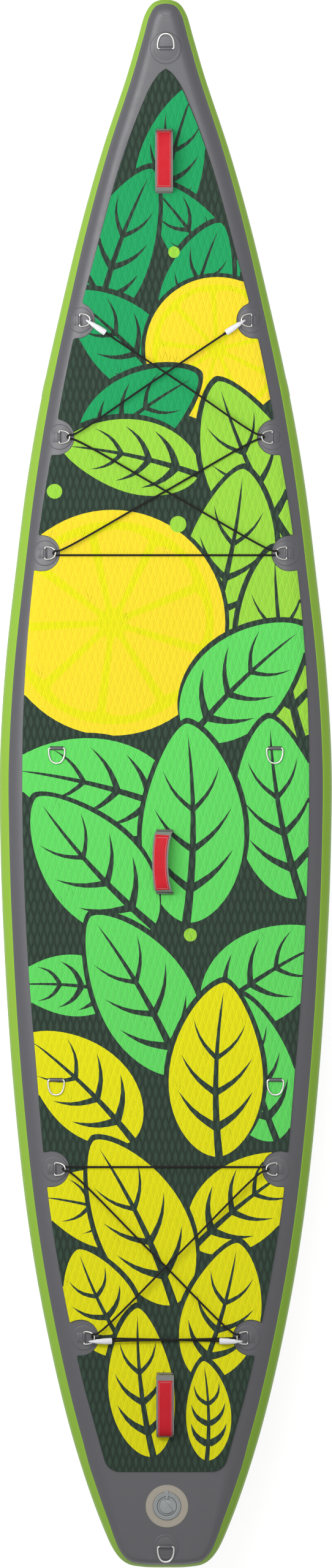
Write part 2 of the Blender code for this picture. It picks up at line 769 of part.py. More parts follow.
def make_bungees(frames, colours):
    right_2 = wrap(frames["right_2"], 1)
    left_3 = wrap(frames["left_3"], 1)
    right_3 = wrap(frames["right_3"], 1)
    left_2 = wrap(frames["left_2"], 1)
    first = add_hook("fore_hook_left", frames["left_1"], FORE_HOOK_AT, right_2[0], colours)
    last = add_hook("fore_hook_right", frames["right_1"], FORE_HOOK_AT, left_2[0], colours)
    route = [first, crossing(first, right_2[0], CROSSING_LIFT), *right_2]
    route += [crossing(right_2[-1], left_3[0], -CROSSING_LIFT), *left_3]
    route += [crossing(left_3[-1], right_3[-1], 0.0), *reversed(right_3)]
    route += [crossing(right_3[0], left_2[-1], CROSSING_LIFT), *reversed(left_2)]
    route += [crossing(left_2[0], last, -CROSSING_LIFT), last]
    tube("fore_bungee", smooth_points(route, 0.12), BUNGEE / 2, colours["cord"])

    right_5 = wrap(frames["right_5"], 1, AFT_WRAP_SHIFT)
    left_4 = wrap(frames["left_4"], -1)
    right_4 = wrap(frames["right_4"], -1)
    left_5 = wrap(frames["left_5"], 1, AFT_WRAP_SHIFT)
    first = add_hook("aft_hook_left", frames["left_5"], AFT_HOOK_AT, right_5[-1], colours)
    last = add_hook("aft_hook_right", frames["right_5"], AFT_HOOK_AT, left_5[-1], colours)
    route = [first, *passing(first, right_5[-1], UPPER_STRAND), *reversed(right_5)]
    route += [crossing(right_5[0], left_4[0], -CROSSING_LIFT), *left_4]
    route += [crossing(left_4[-1], right_4[-1], 0.0), *reversed(right_4)]
    route += [crossing(right_4[0], left_5[0], CROSSING_LIFT), *left_5]
    route += [*passing(left_5[-1], last, LOWER_STRAND), last]
    tube("aft_bungee", smooth_points(route, 0.12), BUNGEE / 2, colours["cord"])


def handle_frame(x, y):
    """Frame on the deck at a handle's middle: X across the board, Y forward, Z out of the deck."""
    slope = Vector((0, 1, rocker_slope(y))).normalized()
    normal = Vector((1, 0, 0)).cross(slope)
    return frame_at(Vector((x, y, deck_height(y))), Vector((1, 0, 0)), normal)


def strap_surface(name, half_width, half_length, lift, thickness, material, collection=PARTS):
    """A strip of the handle's arch, thickened outwards. Heights count from the handle's pivot."""
    bm = bmesh.new()
    rows = []
    steps = 14
    foot = HANDLE_HALF - WEBBING - 0.0035
    for step in range(steps + 1):
        turn = math.pi * step / steps
        y = -foot * math.copysign(abs(math.cos(turn)) ** 0.6, math.cos(turn))
        if abs(y) > half_length:
            continue
        z = HANDLE_RISE * math.sin(turn) ** 0.6 + lift
        rows.append([bm.verts.new((x, y, z)) for x in (-half_width, half_width)])
    for first, second in zip(rows, rows[1:]):
        bm.faces.new((first[0], first[1], second[1], second[0]))
    obj = mesh_from(bm, name, material, collection)
    thicken(obj, thickness, True)
    return obj


def make_handles(stations, colours):
    for name, (x, y, lean) in HANDLES.items():
        place = handle_frame(x, y)
        strap = deck_layer(
            f"{name}_handle_strap",
            stations,
            GAP,
            PATCH,
            colours["webbing"],
            reach=(y - 0.20, y + 0.20),
        )
        width, length = HANDLE_PATCH
        bm = bmesh.new()
        box_into(bm, (x - width / 2, y - length / 2, 0.05), (x + width / 2, y + length / 2, 0.45))
        boolean(strap, mesh_from(bm, f"{name}_patch_shape", None, CUTTERS, smooth=False), "INTERSECT")
        bm = bmesh.new()
        top = GAP + PAD + HANDLE_PIVOT + 0.002
        for end in (-1, 1):
            outer = end * HANDLE_HALF
            inner = end * (HANDLE_HALF - WEBBING)
            low = (-STUB_WIDTH / 2, min(outer, inner), GAP + PATCH / 2)
            box_into(bm, low, (STUB_WIDTH / 2, max(outer, inner), top), place)
        boolean(strap, mesh_from(bm, f"{name}_strap_ends", None, CUTTERS, smooth=False), "UNION")
        pivot = place @ Matrix.Translation((0, 0, GAP + PAD + HANDLE_PIVOT))
        pivot = pivot @ Matrix.Rotation(math.radians(-lean), 4, "Y")
        grip = strap_surface(
            f"{name}_handle_grip", WEBBING_WIDTH / 2, HANDLE_HALF, 0.0, WEBBING, colours["panel"]
        )
        grip.matrix_world = pivot
        panel = strap_surface(
            f"{name}_panel",
            PANEL_WIDTH / 2,
            PANEL_HALF,
            WEBBING / 2,
            PANEL,
            None,
            CUTTERS,
        )
        panel.matrix_world = pivot
        boolean(grip, panel, "UNION")


def valve_frame():
    return Matrix.Translation((*VALVE, THICKNESS))


def make_valve(colours):
    place = valve_frame()
    base = SKIN + GAP
    label = [
        (VALVE_COLLAR + 0.0005, GAP),
        (VALVE_COLLAR + 0.0005, GAP + 0.0012),
        (LABEL_RING - 0.0005, GAP + 0.0012),
        (LABEL_RING, GAP + 0.0006),
        (LABEL_RING, GAP),
    ]
    body = [
        (VALVE_THROAT, VALVE_COLLAR_TOP - 0.001),
        (VALVE_THROAT + 0.001, VALVE_COLLAR_TOP),
        (VALVE_COLLAR - 0.0025, VALVE_COLLAR_TOP),
        (VALVE_COLLAR - 0.0006, VALVE_COLLAR_TOP - 0.0012),
        (VALVE_COLLAR, GAP + 0.0008),
        (VALVE_COLLAR, GAP),
        (VALVE_BARREL, GAP),
        (VALVE_BARREL, VALVE_SEAT - 0.0065),
        (0.0185, VALVE_SEAT - 0.0065),
        (0.0185, VALVE_SEAT - 0.0025),
        (PIN_RADIUS + 0.0005, VALVE_SEAT - 0.0025),
        (PIN_RADIUS + 0.0005, VALVE_SEAT),
        (VALVE_THROAT - 0.001, VALVE_SEAT),
        (VALVE_THROAT, VALVE_SEAT + 0.001),
    ]
    nut = [
        (VALVE_BARREL + 0.0005, -base - 0.0005),
        (VALVE_COLLAR + 0.001, -base - 0.0005),
        (VALVE_COLLAR + 0.001, -base - 0.0045),
        (VALVE_BARREL + 0.0045, -base - 0.009),
        (VALVE_BARREL + 0.0005, -base - 0.009),
    ]
    pin = [
        (0.0, PIN_TOP),
        (0.0050, PIN_TOP),
        (0.0062, PIN_TOP - 0.0008),
        (0.0062, PIN_TOP - 0.0022),
        (PIN_RADIUS, PIN_TOP - 0.0022),
        (PIN_RADIUS, VALVE_SEAT - 0.0028),
        (0.0165, VALVE_SEAT - 0.0028),
        (0.0165, VALVE_SEAT - 0.0042),
        (PIN_RADIUS, VALVE_SEAT - 0.0060),
        (0.0, VALVE_SEAT - 0.0075),
    ]
    turned("valve_label_ring", label, colours["label"], 32).matrix_world = place
    valve_body = turned("valve_body", body, colours["valve"], 28)
    valve_body.matrix_world = place
    bm = bmesh.new()
    for step in range(4):
        turn = math.radians(45 + 90 * step)
        middle = Matrix.Translation((0.0105 * math.cos(turn), 0.0105 * math.sin(turn), 0))
        cylinder_into(bm, 0.0042, VALVE_SEAT - 0.006, VALVE_SEAT + 0.004, 10, place @ middle)
    boolean(valve_body, mesh_from(bm, "valve_air_holes", None, CUTTERS), "DIFFERENCE")
    bm = bmesh.new()
    box_into(bm, (-0.0045, VALVE_COLLAR - 0.003, 2 * GAP + 0.0012), (0.0045, VALVE_COLLAR + 0.005, 0.0038), place)
    boolean(valve_body, mesh_from(bm, "tether_lug", None, CUTTERS, smooth=False), "UNION")
    turned("valve_nut", nut, colours["valve"], 24).matrix_world = place
    turned("valve_pin", pin, colours["valve"], 16).matrix_world = place
    top = PIN_TOP - 0.0022 - SPRING_WIRE - GAP
    bottom = VALVE_SEAT + SPRING_WIRE + GAP
    count = SPRING_TURNS * SPRING_STEPS
    coil = []
    for step in range(count + 1):
        turn = 2 * math.pi * step / SPRING_STEPS
        height = bottom + (top - bottom) * step / count
        coil.append((SPRING_RADIUS * math.cos(turn), SPRING_RADIUS * math.sin(turn), height))
    tube("valve_spring", coil, SPRING_WIRE, colours["steel"], resolution=1).matrix_world = place
    make_cap(place, colours)


def make_cap(place, colours):
    """The push-in cap with its grip and the tether that it hangs from, as one moulding."""
    reach, height = CAP_HINGE
    hinge = place @ Matrix.Translation((0, reach, height))
    shift = Matrix.Translation((0, -reach, -height))
    bm = bmesh.new()
    cylinder_into(bm, CAP_RADIUS, CAP_UNDERSIDE, 0.0015, 36, shift)
    cap = mesh_from(bm, "valve_cap", colours["valve"])
    cap.matrix_world = hinge
    grip = [(0.0150 * math.cos(math.pi * step / 10), 0.0105 * math.sin(math.pi * step / 10)) for step in range(11)]
    upright = hinge @ shift @ Matrix.Rotation(math.radians(40), 4, "Z") @ Matrix.Rotation(math.pi / 2, 4, "X")
    boolean(cap, flat_plate("cap_grip", [grip], -0.0016, 0.0016, upright), "UNION")
    bm = bmesh.new()
    box_into(bm, (-0.003, -reach + 0.018, -height + 0.0008), (0.003, -reach + 0.0205, 0.0006), hinge)
    boolean(cap, mesh_from(bm, "tether_post", None, CUTTERS, smooth=False), "UNION")
    bm = bmesh.new()
    box_into(bm, (-0.003, -reach + 0.018, -0.0006), (0.003, 0.0012, 0.0006), hinge)
    boolean(cap, mesh_from(bm, "tether_strap", None, CUTTERS, smooth=False), "UNION")


def make_fin_box(colours):
    place = Matrix.Translation((0, FIN_BOX_Y, 0))
    width, flange = FIN_FLANGE
    bm = bmesh.new()
    box_into(bm, (-width / 2, -FIN_BOX_HALF - 0.02, -flange), (width / 2, FIN_BOX_HALF + 0.02, -GAP))
    obj = mesh_from(bm, "fin_box", colours["fin"], smooth=False)
    obj.matrix_world = place
    bm = bmesh.new()
    half = FIN_BOX_WIDTH / 2
    box_into(bm, (-half, -FIN_BOX_HALF, -FIN_BOX_DEPTH), (half, FIN_BOX_HALF, -flange / 2), place)
    block = mesh_from(bm, "fin_box_block", None, CUTTERS, smooth=False)
    bevel = block.modifiers.new("soft edges", "BEVEL")
    bevel.width = 0.006
    bevel.segments = 2
    bevel.limit_method = "ANGLE"
    boolean(obj, block, "UNION")
    bm = bmesh.new()
    slot = SLOT_WIDTH / 2
    box_into(bm, (-slot, -SLOT_HALF, -0.04), (slot, SLOT_HALF, SLOT_TOP), place)
    boolean(obj, mesh_from(bm, "fin_slot", None, CUTTERS, smooth=False), "DIFFERENCE")
    bm = bmesh.new()
    groove, low, high = GROOVE
    box_into(bm, (-groove / 2, -SLOT_HALF + 0.004, low), (groove / 2, SLOT_HALF - 0.004, high), place)
    boolean(obj, mesh_from(bm, "plate_groove", None, CUTTERS, smooth=False), "DIFFERENCE")
    bm = bmesh.new()
    entry = groove / 2 + 0.0002
    box_into(bm, (-entry, -0.009, -0.04), (entry, 0.009, low + 0.001), place)
    boolean(obj, mesh_from(bm, "plate_entry", None, CUTTERS, smooth=False), "DIFFERENCE")


def make_fin(colours):
    bm = bmesh.new()
    rows = []
    for depth, lead, trail, thickness in FIN_SECTIONS:
        ring = []
        for step in range(2 * FIN_POINTS):
            turn = math.pi * step / FIN_POINTS
            share = (1 - math.cos(turn)) / 2
            y = lead + (trail - lead) * share
            x = thickness / 2 * math.sin(turn) * (1.25 - 0.5 * share)
            ring.append(bm.verts.new((x, y, -FIN_BOX_DEPTH - 0.0006 - depth)))
        rows.append(ring)
    for upper, lower in zip(rows, rows[1:]):
        for index in range(len(upper)):
            after = (index + 1) % len(upper)
            bm.faces.new((upper[index], upper[after], lower[after], lower[index]))
    bm.faces.new(rows[-1])
    bm.faces.new(list(reversed(rows[0])))
    bmesh.ops.recalc_face_normals(bm, faces=bm.faces)
    fin = mesh_from(bm, "fin", colours["fin"])
    bm = bmesh.new()
    half = FIN_TAB / 2
    box_into(bm, (-half, -1.618, -FIN_BOX_DEPTH - 0.002), (half, -1.462, SLOT_TOP - 0.001))
    boolean(fin, mesh_from(bm, "fin_tab", None, CUTTERS, smooth=False), "UNION")
    bm = bmesh.new()
    box_into(bm, (-half, -1.470, -0.021), (half, FIN_SCREW_Y + 0.006, -0.0125))
    boolean(fin, mesh_from(bm, "fin_ear", None, CUTTERS, smooth=False), "UNION")
    bm = bmesh.new()
    cylinder_into(bm, 0.0026, -0.05, 0.0, 16, Matrix.Translation((0, FIN_SCREW_Y, 0)))
    boolean(fin, mesh_from(bm, "fin_screw_hole", None, CUTTERS), "DIFFERENCE")


def make_fin_fittings(colours):
    place = Matrix.Translation((0, FIN_SCREW_Y, 0))
    low, high = -0.0090, -0.0065
    bm = bmesh.new()
    box_into(bm, (-0.0078, -0.0078, low), (0.0078, 0.0078, high))
    plate = mesh_from(bm, "fin_plate", colours["steel"], smooth=False)
    plate.matrix_world = place
    bm = bmesh.new()
    cylinder_into(bm, 0.0024, -0.02, 0.0, 16, place)
    boolean(plate, mesh_from(bm, "plate_hole", None, CUTTERS), "DIFFERENCE")
    head = -FIN_BOX_DEPTH - 0.0006
    screw = [
        (0.0, -0.0058),
        (0.0019, -0.0058),
        (0.0019, head),
        (0.0078, head),
        (0.0085, head - 0.0008),
        (0.0085, head - 0.0062),
        (0.0075, head - 0.0072),
        (0.0, head - 0.0072),
    ]
    turned("fin_screw", screw, colours["steel"], 16).matrix_world = place


def main():
    clear_scene()
    colours = make_materials()
    stations = make_stations()
    make_hull(stations, colours)
    make_pad(stations, colours)
    make_end_rings(stations, colours)
    make_seat_rings(stations, colours)
    make_bungees(make_bungee_rings(stations, colours), colours)
    make_handles(stations, colours)
    make_valve(colours)
    make_fin_box(colours)
    make_fin(colours)
    make_fin_fittings(colours)


main()
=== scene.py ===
"""The visible surfaces of an inflatable touring paddle board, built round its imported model.

Metres, +Z up, nose towards +Y, origin on the flat underside. Every piece rides on the body that carries it.
"""

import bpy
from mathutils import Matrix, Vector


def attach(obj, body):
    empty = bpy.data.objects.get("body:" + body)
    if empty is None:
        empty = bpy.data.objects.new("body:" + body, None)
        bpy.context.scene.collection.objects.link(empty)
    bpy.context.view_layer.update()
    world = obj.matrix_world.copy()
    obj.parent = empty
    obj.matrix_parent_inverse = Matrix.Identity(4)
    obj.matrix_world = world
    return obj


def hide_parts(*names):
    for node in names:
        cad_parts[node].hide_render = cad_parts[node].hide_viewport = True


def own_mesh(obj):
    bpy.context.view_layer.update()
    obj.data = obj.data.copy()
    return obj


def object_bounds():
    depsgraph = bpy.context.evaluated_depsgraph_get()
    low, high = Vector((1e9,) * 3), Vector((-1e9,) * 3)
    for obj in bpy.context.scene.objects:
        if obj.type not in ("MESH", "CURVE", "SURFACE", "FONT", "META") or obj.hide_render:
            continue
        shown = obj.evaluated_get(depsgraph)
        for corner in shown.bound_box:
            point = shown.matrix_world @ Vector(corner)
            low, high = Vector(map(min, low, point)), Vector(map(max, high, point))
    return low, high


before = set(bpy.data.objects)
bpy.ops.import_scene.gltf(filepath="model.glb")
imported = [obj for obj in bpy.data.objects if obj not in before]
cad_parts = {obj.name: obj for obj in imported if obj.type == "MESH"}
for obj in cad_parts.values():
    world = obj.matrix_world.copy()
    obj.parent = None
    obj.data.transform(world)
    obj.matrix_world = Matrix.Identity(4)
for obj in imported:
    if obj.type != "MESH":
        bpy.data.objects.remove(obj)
CAD_BOX = [list(corner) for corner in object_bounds()]

import bisect
import math

import bmesh
import bpy
from mathutils import Matrix, Vector, geometry

bl_info = {
    "name": "Inflatable Paddle Board",
    "version": (1, 0, 0),
    "blender": (4, 5, 0),
    "location": "3D View > Sidebar > Paddle Board",
    "description": "Builds a touring paddle board with its pad, rings, bungees, handles, valve and fin",
    "category": "Object",
}

# Hull, as the solids have it
THICKNESS = 0.150
SKIN = 0.0012
GAP = 0.0003
USUAL_SEAM = 45.0
NOSE_TIP = 1.9065
NOSE_ROCKER = 0.190
ROCKER_START = 0.45
ROCKER_POWER = 2.4
RAIL_JOIN = 0.9545
OUTLINE = (
    (0.0000, 1.9065),
    (0.0300, 1.8985),
    (0.0477, 1.8752),
    (0.0663, 1.8156),
    (0.0931, 1.7262),
    (0.1534, 1.5474),
    (0.2048, 1.3687),
    (0.2488, 1.1899),
    (0.3015, 0.9545),
    (0.3382, 0.7430),
    (0.3650, 0.5300),
    (0.3903, 0.2961),
    (0.4040, 0.0600),
    (0.4035, -0.1000),
    (0.3963, -0.3296),
    (0.3747, -0.6871),
    (0.3374, -1.0447),
    (0.2920, -1.3128),
    (0.2287, -1.5810),
    (0.1594, -1.7895),
    (0.1199, -1.8729),
    (0.0930, -1.8960),
    (0.0550, -1.9036),
    (0.0000, -1.9050),
)

# Depth of the rail, half of the thickness and the seam's angle round the rail, as (y, value) from the nose
RAIL_DEPTH = ((1.9065, 0.042), (1.45, 0.052), (0.75, 0.075), (-1.60, 0.075), (-1.84, 0.036), (-1.905, 0.024))
HALF_THICKNESS = ((1.9065, 0.060), (1.60, 0.075), (-1.905, 0.075))
SEAM_ANGLES = ((1.9065, 41.0), (-1.66, 42.5), (-1.80, 54.0), (-1.89, 55.0), (-1.905, 48.0))

# Angles round the rail of a skin's points, and of a rail band's with their rise as a share of the rail lift.
# Past RAIL_TUCK the band is only a thin edge on the skin. At RAIL_JOIN its nose length lies over the other.
SKIN_ANGLES = (90, 84, 78, 72, 66, 60, 55, 50, 46)
RAIL_TAPES = (
    (47.5, 0.0),
    (46.8, 0.75),
    (45.6, 1.0),
    (36.0, 1.0),
    (26.5, 1.0),
    (25.7, 1.7),
    (24.5, 1.8),
    (12.0, 1.8),
    (0.0, 1.8),
)
RAIL_TUCK = 45.5
TUCK_SKIN = 0.2 * SKIN
OVERLAP_REACH = 0.045
OVERLAP_RISE = 0.0009

# Deck pad, right half of its outline from the tip backwards
PAD = 0.005
PAD_OUTLINE = (
    (0.0000, 1.7396),
    (0.0280, 1.7129),
    (0.0573, 1.6545),
    (0.1125, 1.5058),
    (0.1750, 1.2793),
    (0.2235, 1.0870),
    (0.2690, 0.8520),
    (0.3090, 0.6000),
    (0.3390, 0.2961),
    (0.3478, 0.0279),
    (0.3390, -0.3296),
    (0.3170, -0.6500),
    (0.2786, -1.0447),
    (0.2115, -1.4022),
    (0.1540, -1.6200),
)
PAD_TAIL = -1.6674
PAD_CORNER = 0.036
PAD_LEAN = 16.0
NOTCH_RADIUS = 0.0435
NOTCH_OUT = 0.008
SLOT_PLAY = 0.001
TAB_SLOT_HALF = 0.0048
STUB_SLOT_HALF = 0.0022

# Patches, tabs and rings
PATCH = 0.0012
PATCH_RADIUS = 0.031
NOSE_PATCH_RADIUS = 0.038
TAB_SKIN = 0.0010
TAB_PLAY = 0.0004
TAB_FOOT = 0.013
TAB_BEVEL = 0.00035
FOOT_THICKNESS = (0.0024, 0.0018)
FLAP_SHARE = 1.12
FLAP_THICKNESS = 0.0009
FLAP_REACH = (0.004, 0.0025)
PATCH_THREAD = 0.00035
PATCH_STITCH = 0.0030
SMALL_RING = {"half": 0.0152, "depth": 0.0275, "wire": 0.00185, "tab": 0.0110, "corner": 0.003}
LARGE_RING = {"half": 0.0197, "depth": 0.0365, "wire": 0.0023, "tab": 0.0145, "corner": 0.004}
BUNGEE_RINGS = ((0.2080, 1.1355), (0.2585, 0.8520), (0.2935, 0.5694), (0.2705, -0.9300), (0.1990, -1.3411))
BUNGEE_RING_LIFT = 0.0152
NOSE_RING_Y = 1.7873
TAIL_RING_Y = -1.8500
SEAT_RINGS = {"front": (0.2655, 0.0945), "rear": (0.2670, -0.7130)}
SEAT_BAR_ABOVE_PAD = 0.0032
RING_FULLNESS = 0.84
RING_STEP = 0.0011
WELD_REACH = 0.0022
WELD_RISE = 0.00016
WIDE_TAB = 0.0155
WIDE_TAB_SKIN = 0.0016
DISC_RISE = 0.0005

# A patch from its middle outwards: share of its radius, of its thickness, and of the disc's rise over it
PATCH_PROFILE = (
    (0.000, 1.00, 1.0),
    (0.730, 1.00, 1.0),
    (0.750, 1.00, 0.7),
    (0.758, 1.00, 0.0),
    (0.880, 1.00, 0.0),
    (0.950, 1.00, 0.0),
    (0.985, 0.70, 0.0),
    (1.000, 0.25, 0.0),
    (1.000, 0.00, 0.0),
)

# Bungees and their hooks
BUNGEE = 0.005
COLLAR_RADIUS = 0.0035
COLLAR_LENGTH = 0.011
COLLAR_START = 0.002
WRAP_RADIUS = 0.0054
WRAP_SPREAD = 0.005
WRAP_LEAD = 0.009
CROSSING_LIFT = 0.0032
FORE_HOOK_AT = -0.005
AFT_HOOK_AT = -0.0082
AFT_WRAP_SHIFT = 0.0045

# Where the aft hooks' strands pass others, as (share of the strand, height)
UPPER_STRAND = ((0.14, 0.1664), (0.45, 0.1664), (0.79, 0.1662), (0.89, 0.1602))
LOWER_STRAND = ((0.12, 0.1598), (0.35, 0.1598), (0.65, 0.1598), (0.91, 0.1600))

# A hook from its cord to the tip of its claw, as (distance from the wire, height over it, radius)
HOOK_SHAPE = (
    (0.0460, 0.0046, 0.0076),
    (0.0300, 0.0066, 0.0073),
    (0.0120, 0.0076, 0.0058),
    (0.0000, 0.0062, 0.0034),
    (-0.0060, 0.0038, 0.0026),
    (-0.0084, 0.0004, 0.0022),
    (-0.0068, -0.0034, 0.0018),
    (-0.0036, -0.0052, 0.0015),
)

# Ribs of a hook's barrel: where they start and end, their width along it and their share of its radius
HOOK_RIBS = (0.004, 0.022, 0.0016, 0.05)

# Carry handles: middle, degrees that it leans and bows over, and how far its panel is off the middle
HANDLES = {
    "front": (-0.004, 1.5195, 0.0, 0.0, 0.007),
    "centre": (-0.002, -0.1820, 14.0, 12.0, -0.001),
    "rear": (-0.0015, -1.5045, 0.0, 0.0, -0.006),
}

# Sizes of the handles. WEBBING_RIBS says how many and how deep, and HANDLE_PATCH how wide and how long.
HANDLE_HALF = 0.0775
WEBBING = 0.0020
WEBBING_WIDTH = 0.043
STUB_WIDTH = 0.039
HANDLE_PIVOT = 0.012
HANDLE_RISE = 0.025
HANDLE_FOOT_IN = 0.0035
HANDLE_FULLNESS = 0.6
WEBBING_RIBS = (14, 0.00022)
PANEL_WIDTH = 0.034
PANEL_HALF = 0.066
PANEL_LOWEST = 0.005
PANEL_THICKNESS = 0.0017
PANEL_SEAM_IN = 0.0022
PANEL_THREAD = 0.00036
HANDLE_PATCH = (0.056, 0.186)
STUB_OVERLAP = 0.002
STUB_STITCH = 0.0032
STUB_THREAD = 0.0004
STUB_STITCH_ROWS = (0.008, 0.0125)
STUB_STITCH_PITCH = 0.0046
STUB_STITCHES = 8

# Valve, with heights over the deck. Its collar's groove is (radius, depth), and its recess is below the seat.
VALVE = (0.003, -1.7515)
VALVE_THROAT = 0.0242
VALVE_BARREL = 0.0272
VALVE_COLLAR = 0.034
VALVE_COLLAR_TOP = 0.004
VALVE_SEAT = -0.022
VALVE_LIP = 0.0010
COLLAR_GROOVE = ((0.0286, 0.0), (0.0290, 0.0006), (0.0296, 0.0006), (0.0300, 0.0))
COLLAR_ROUNDING = 0.0018
RECESS_RADIUS = 0.0185
RECESS_DEPTHS = (0.0065, 0.0025)
LABEL_RING = 0.052
LABEL_THICKNESS = 0.0012
LABEL_GROOVES = (0.12, 0.88)
AIR_HOLES = 4
AIR_HOLE_RADIUS = 0.0042
AIR_HOLE_RING = 0.0105
THREAD_TURNS = 6
THREAD_TOP = -0.004
THREAD_PITCH = 0.0030
THREAD_DEPTH = 0.0008
PIN_RADIUS = 0.0028
PIN_PLAY = 0.0005
CAP_RADIUS = 0.0232
CAP_UNDERSIDE = -0.0012
CAP_ROUNDING = 0.0011
CAP_HINGE = (0.036, 0.0055)

# The cap's section: rim and face as (distance in from its radius, height), and boss as (radius, height)
CAP_RIM = ((0.0008, CAP_UNDERSIDE), (0.0, -0.0006), (0.0005, -0.0003), (0.0, 0.0001))
CAP_FACE = ((0.0034, 0.0017), (0.0042, 0.0010), (0.0052, 0.0008))
CAP_BOSS = ((0.0115, 0.0008), (0.0108, 0.0012))

# The lug on the collar as half its width, its reach in and out from the collar and its top, and the tether
TETHER_LUG = (0.0045, 0.003, 0.005, 0.0038)
TETHER_POST_Y = 0.0193
TETHER_POST = (0.0020, 0.0016)
TETHER_WIDTH = 0.006
TETHER_THICKNESS = 0.0011
TETHER_END = 0.0012

# The cap's grip, and the spring under it as its ends' heights, radius, wire and turns
GRIP_RADIUS = 0.0178
GRIP_EDGE = 0.0050
GRIP_TURN = 40.0
GRIP_TOP = 0.0056
SPRING_ENDS = (-0.0212, -0.0150)
SPRING_RADIUS = 0.0048
SPRING_WIRE = 0.0005
SPRING_TURNS = 3

# Fin, under the tail
FIN_BOX_DEPTH = 0.025
SLOT_TOP = -0.0045
FIN_TAB = 0.0088
FIN_GAP = 0.0006
FIN_ROUNDING = 0.0012
FIN_SCREW_Y = -1.422
FIN_SCREW_HOLE = 0.0026

# The fin's tab in its box and the ear that the screw holds, each as its low and high (y, z)
FIN_HOLDS = (
    ((-1.618, -FIN_BOX_DEPTH - 0.002), (-1.462, SLOT_TOP - 0.001)),
    ((-1.470, -0.021), (FIN_SCREW_Y + 0.006, -0.0125)),
)

# Sections of the fin's blade as (depth, leading edge, trailing edge, thickness)
FIN_SECTIONS = (
    (0.0000, -1.444, -1.628, 0.0088),
    (0.0450, -1.464, -1.633, 0.0084),
    (0.0950, -1.496, -1.646, 0.0076),
    (0.1450, -1.545, -1.668, 0.0062),
    (0.1850, -1.598, -1.690, 0.0044),
    (0.2000, -1.632, -1.696, 0.0024),
)

# Print of the pad, in drawing order: broad leaves by (base, direction in degrees, length, width, ink),
# and fruit slices by (middle, radius)
PRINT = (
    ((-0.02, 1.33), 84, 0.38, 0.16, "emerald"),
    ((0.16, 1.19), 118, 0.34, 0.14, "emerald"),
    ((-0.17, 1.12), 78, 0.4, 0.17, "emerald"),
    ((0.01, 0.96), 128, 0.34, 0.18, "emerald"),
    ((0.04, 1.04), 82, 0.34, 0.17, "emerald"),
    ((0.125, 1.065), 0.175),
    ((-0.2, 0.8), 44, 0.34, 0.19, "emerald"),
    ((0.08, 0.76), 160, 0.34, 0.18, "lime"),
    ((0.3, 0.6), 122, 0.42, 0.22, "lime"),
    ((0.1, 0.36), 70, 0.42, 0.22, "lime"),
    ((0.33, 0.12), 106, 0.46, 0.22, "lime"),
    ((-0.13, 0.4), 0.275),
    ((0.06, 0.12), 52, 0.38, 0.22, "mint"),
    ((0.03, -0.06), 158, 0.42, 0.23, "mint"),
    ((0.33, -0.27), 108, 0.44, 0.22, "mint"),
    ((0.05, -0.33), 82, 0.48, 0.25, "mint"),
    ((-0.03, -0.34), 140, 0.42, 0.23, "mint"),
    ((-0.11, -0.5), 168, 0.26, 0.15, "mint"),
    ((0.1, -0.56), 40, 0.36, 0.22, "mint"),
    ((0.04, -0.7), 112, 0.44, 0.23, "mint"),
    ((0.27, -0.86), 112, 0.36, 0.19, "mint"),
    ((-0.08, -0.86), 128, 0.36, 0.21, "lemon"),
    ((0.13, -0.9), 96, 0.42, 0.23, "lemon"),
    ((-0.02, -1.07), 158, 0.3, 0.19, "lemon"),
    ((0.07, -1.12), 46, 0.34, 0.2, "lemon"),
    ((0.02, -1.26), 108, 0.44, 0.22, "lemon"),
    ((-0.09, -1.38), 124, 0.28, 0.17, "lemon"),
    ((0.08, -1.44), 66, 0.34, 0.19, "lemon"),
    ((-0.03, -1.63), 104, 0.36, 0.16, "lemon"),
    ((0.1, -1.64), 84, 0.24, 0.11, "lemon"),
)

# Seeds as (x, y, radius), and what a leaf's dark rim adds to its length and width
SEEDS = (
    (0.02, 1.3, 0.014),
    (-0.27, 0.72, 0.018),
    (0.03, 0.64, 0.02),
    (0.06, -0.36, 0.016),
)
LEAF_RIM = (0.014, 0.024)
LEAF_BEND = 0.14
VEIN_PAIRS = 3
SLICE_RIM = 0.010
SLICE_WEDGES = 9
INKS = ("ground", "emerald", "lime", "mint", "yellow", "lemon", "edge")

# Studio: lamps as (name, place, target, size, power)
LAMPS = (
    ("key_light", (-1.9, 1.1, 4.4), (0.0, 1.1, 0.0), (1.0, 4.4), 98.0),
    ("ceiling_light", (-1.2, 1.3, 3.5), (-1.2, 1.3, 0.0), (5.0, 5.4), 79.0),
)
WORLD_LIGHT = 0.31
PAPER_TONE = 0.62
PAPER_GLOW = 0.77
PAPER_SIZE = 60.0
CAMERA_PLACE = (0.0007, 0.0074, 21.366)
CAMERA_LENS = 200.0
SIDES = (("left", -1), ("right", 1))


def srgb(red, green, blue):
    """Linear colour of an sRGB colour given as 0 to 255."""
    shares = [value / 255 for value in (red, green, blue)]
    return tuple(s / 12.92 if s <= 0.04045 else ((s + 0.055) / 1.055) ** 2.4 for s in shares)


def colour(name, description, *levels):
    return bpy.props.FloatVectorProperty(
        name=name, description=description, default=srgb(*levels), subtype="COLOR", min=0.0, max=1.0
    )


def distance(name, description, default):
    return bpy.props.FloatProperty(
        name=name, description=description, default=default, unit="LENGTH", min=0.0
    )


class PaddleBoardSizes(bpy.types.PropertyGroup):
    """Sizes that change the look and not the construction"""

    groove_depth: distance("Groove depth", "Depth of the diamond grooves in the pad", 0.0010)
    groove_width: distance("Groove width", "Width of a groove at the pad's top", 0.0036)
    diamond_width: distance("Diamond width", "Width of one diamond of the pad", 0.016)
    diamond_length: distance("Diamond length", "Length of one diamond of the pad", 0.053)
    pad_bevel: distance("Pad bevel", "Width of the pad's rounded edge", 0.0024)
    rail_lift: distance("Rail lift", "How far the rail band stands proud of the deck", 0.0008)
    braid_pitch: distance("Braid pitch", "Length along the bungee of one turn of its braid", 0.0062)
    stitch: distance("Stitch", "Length of one stitch in the handles", 0.0034)


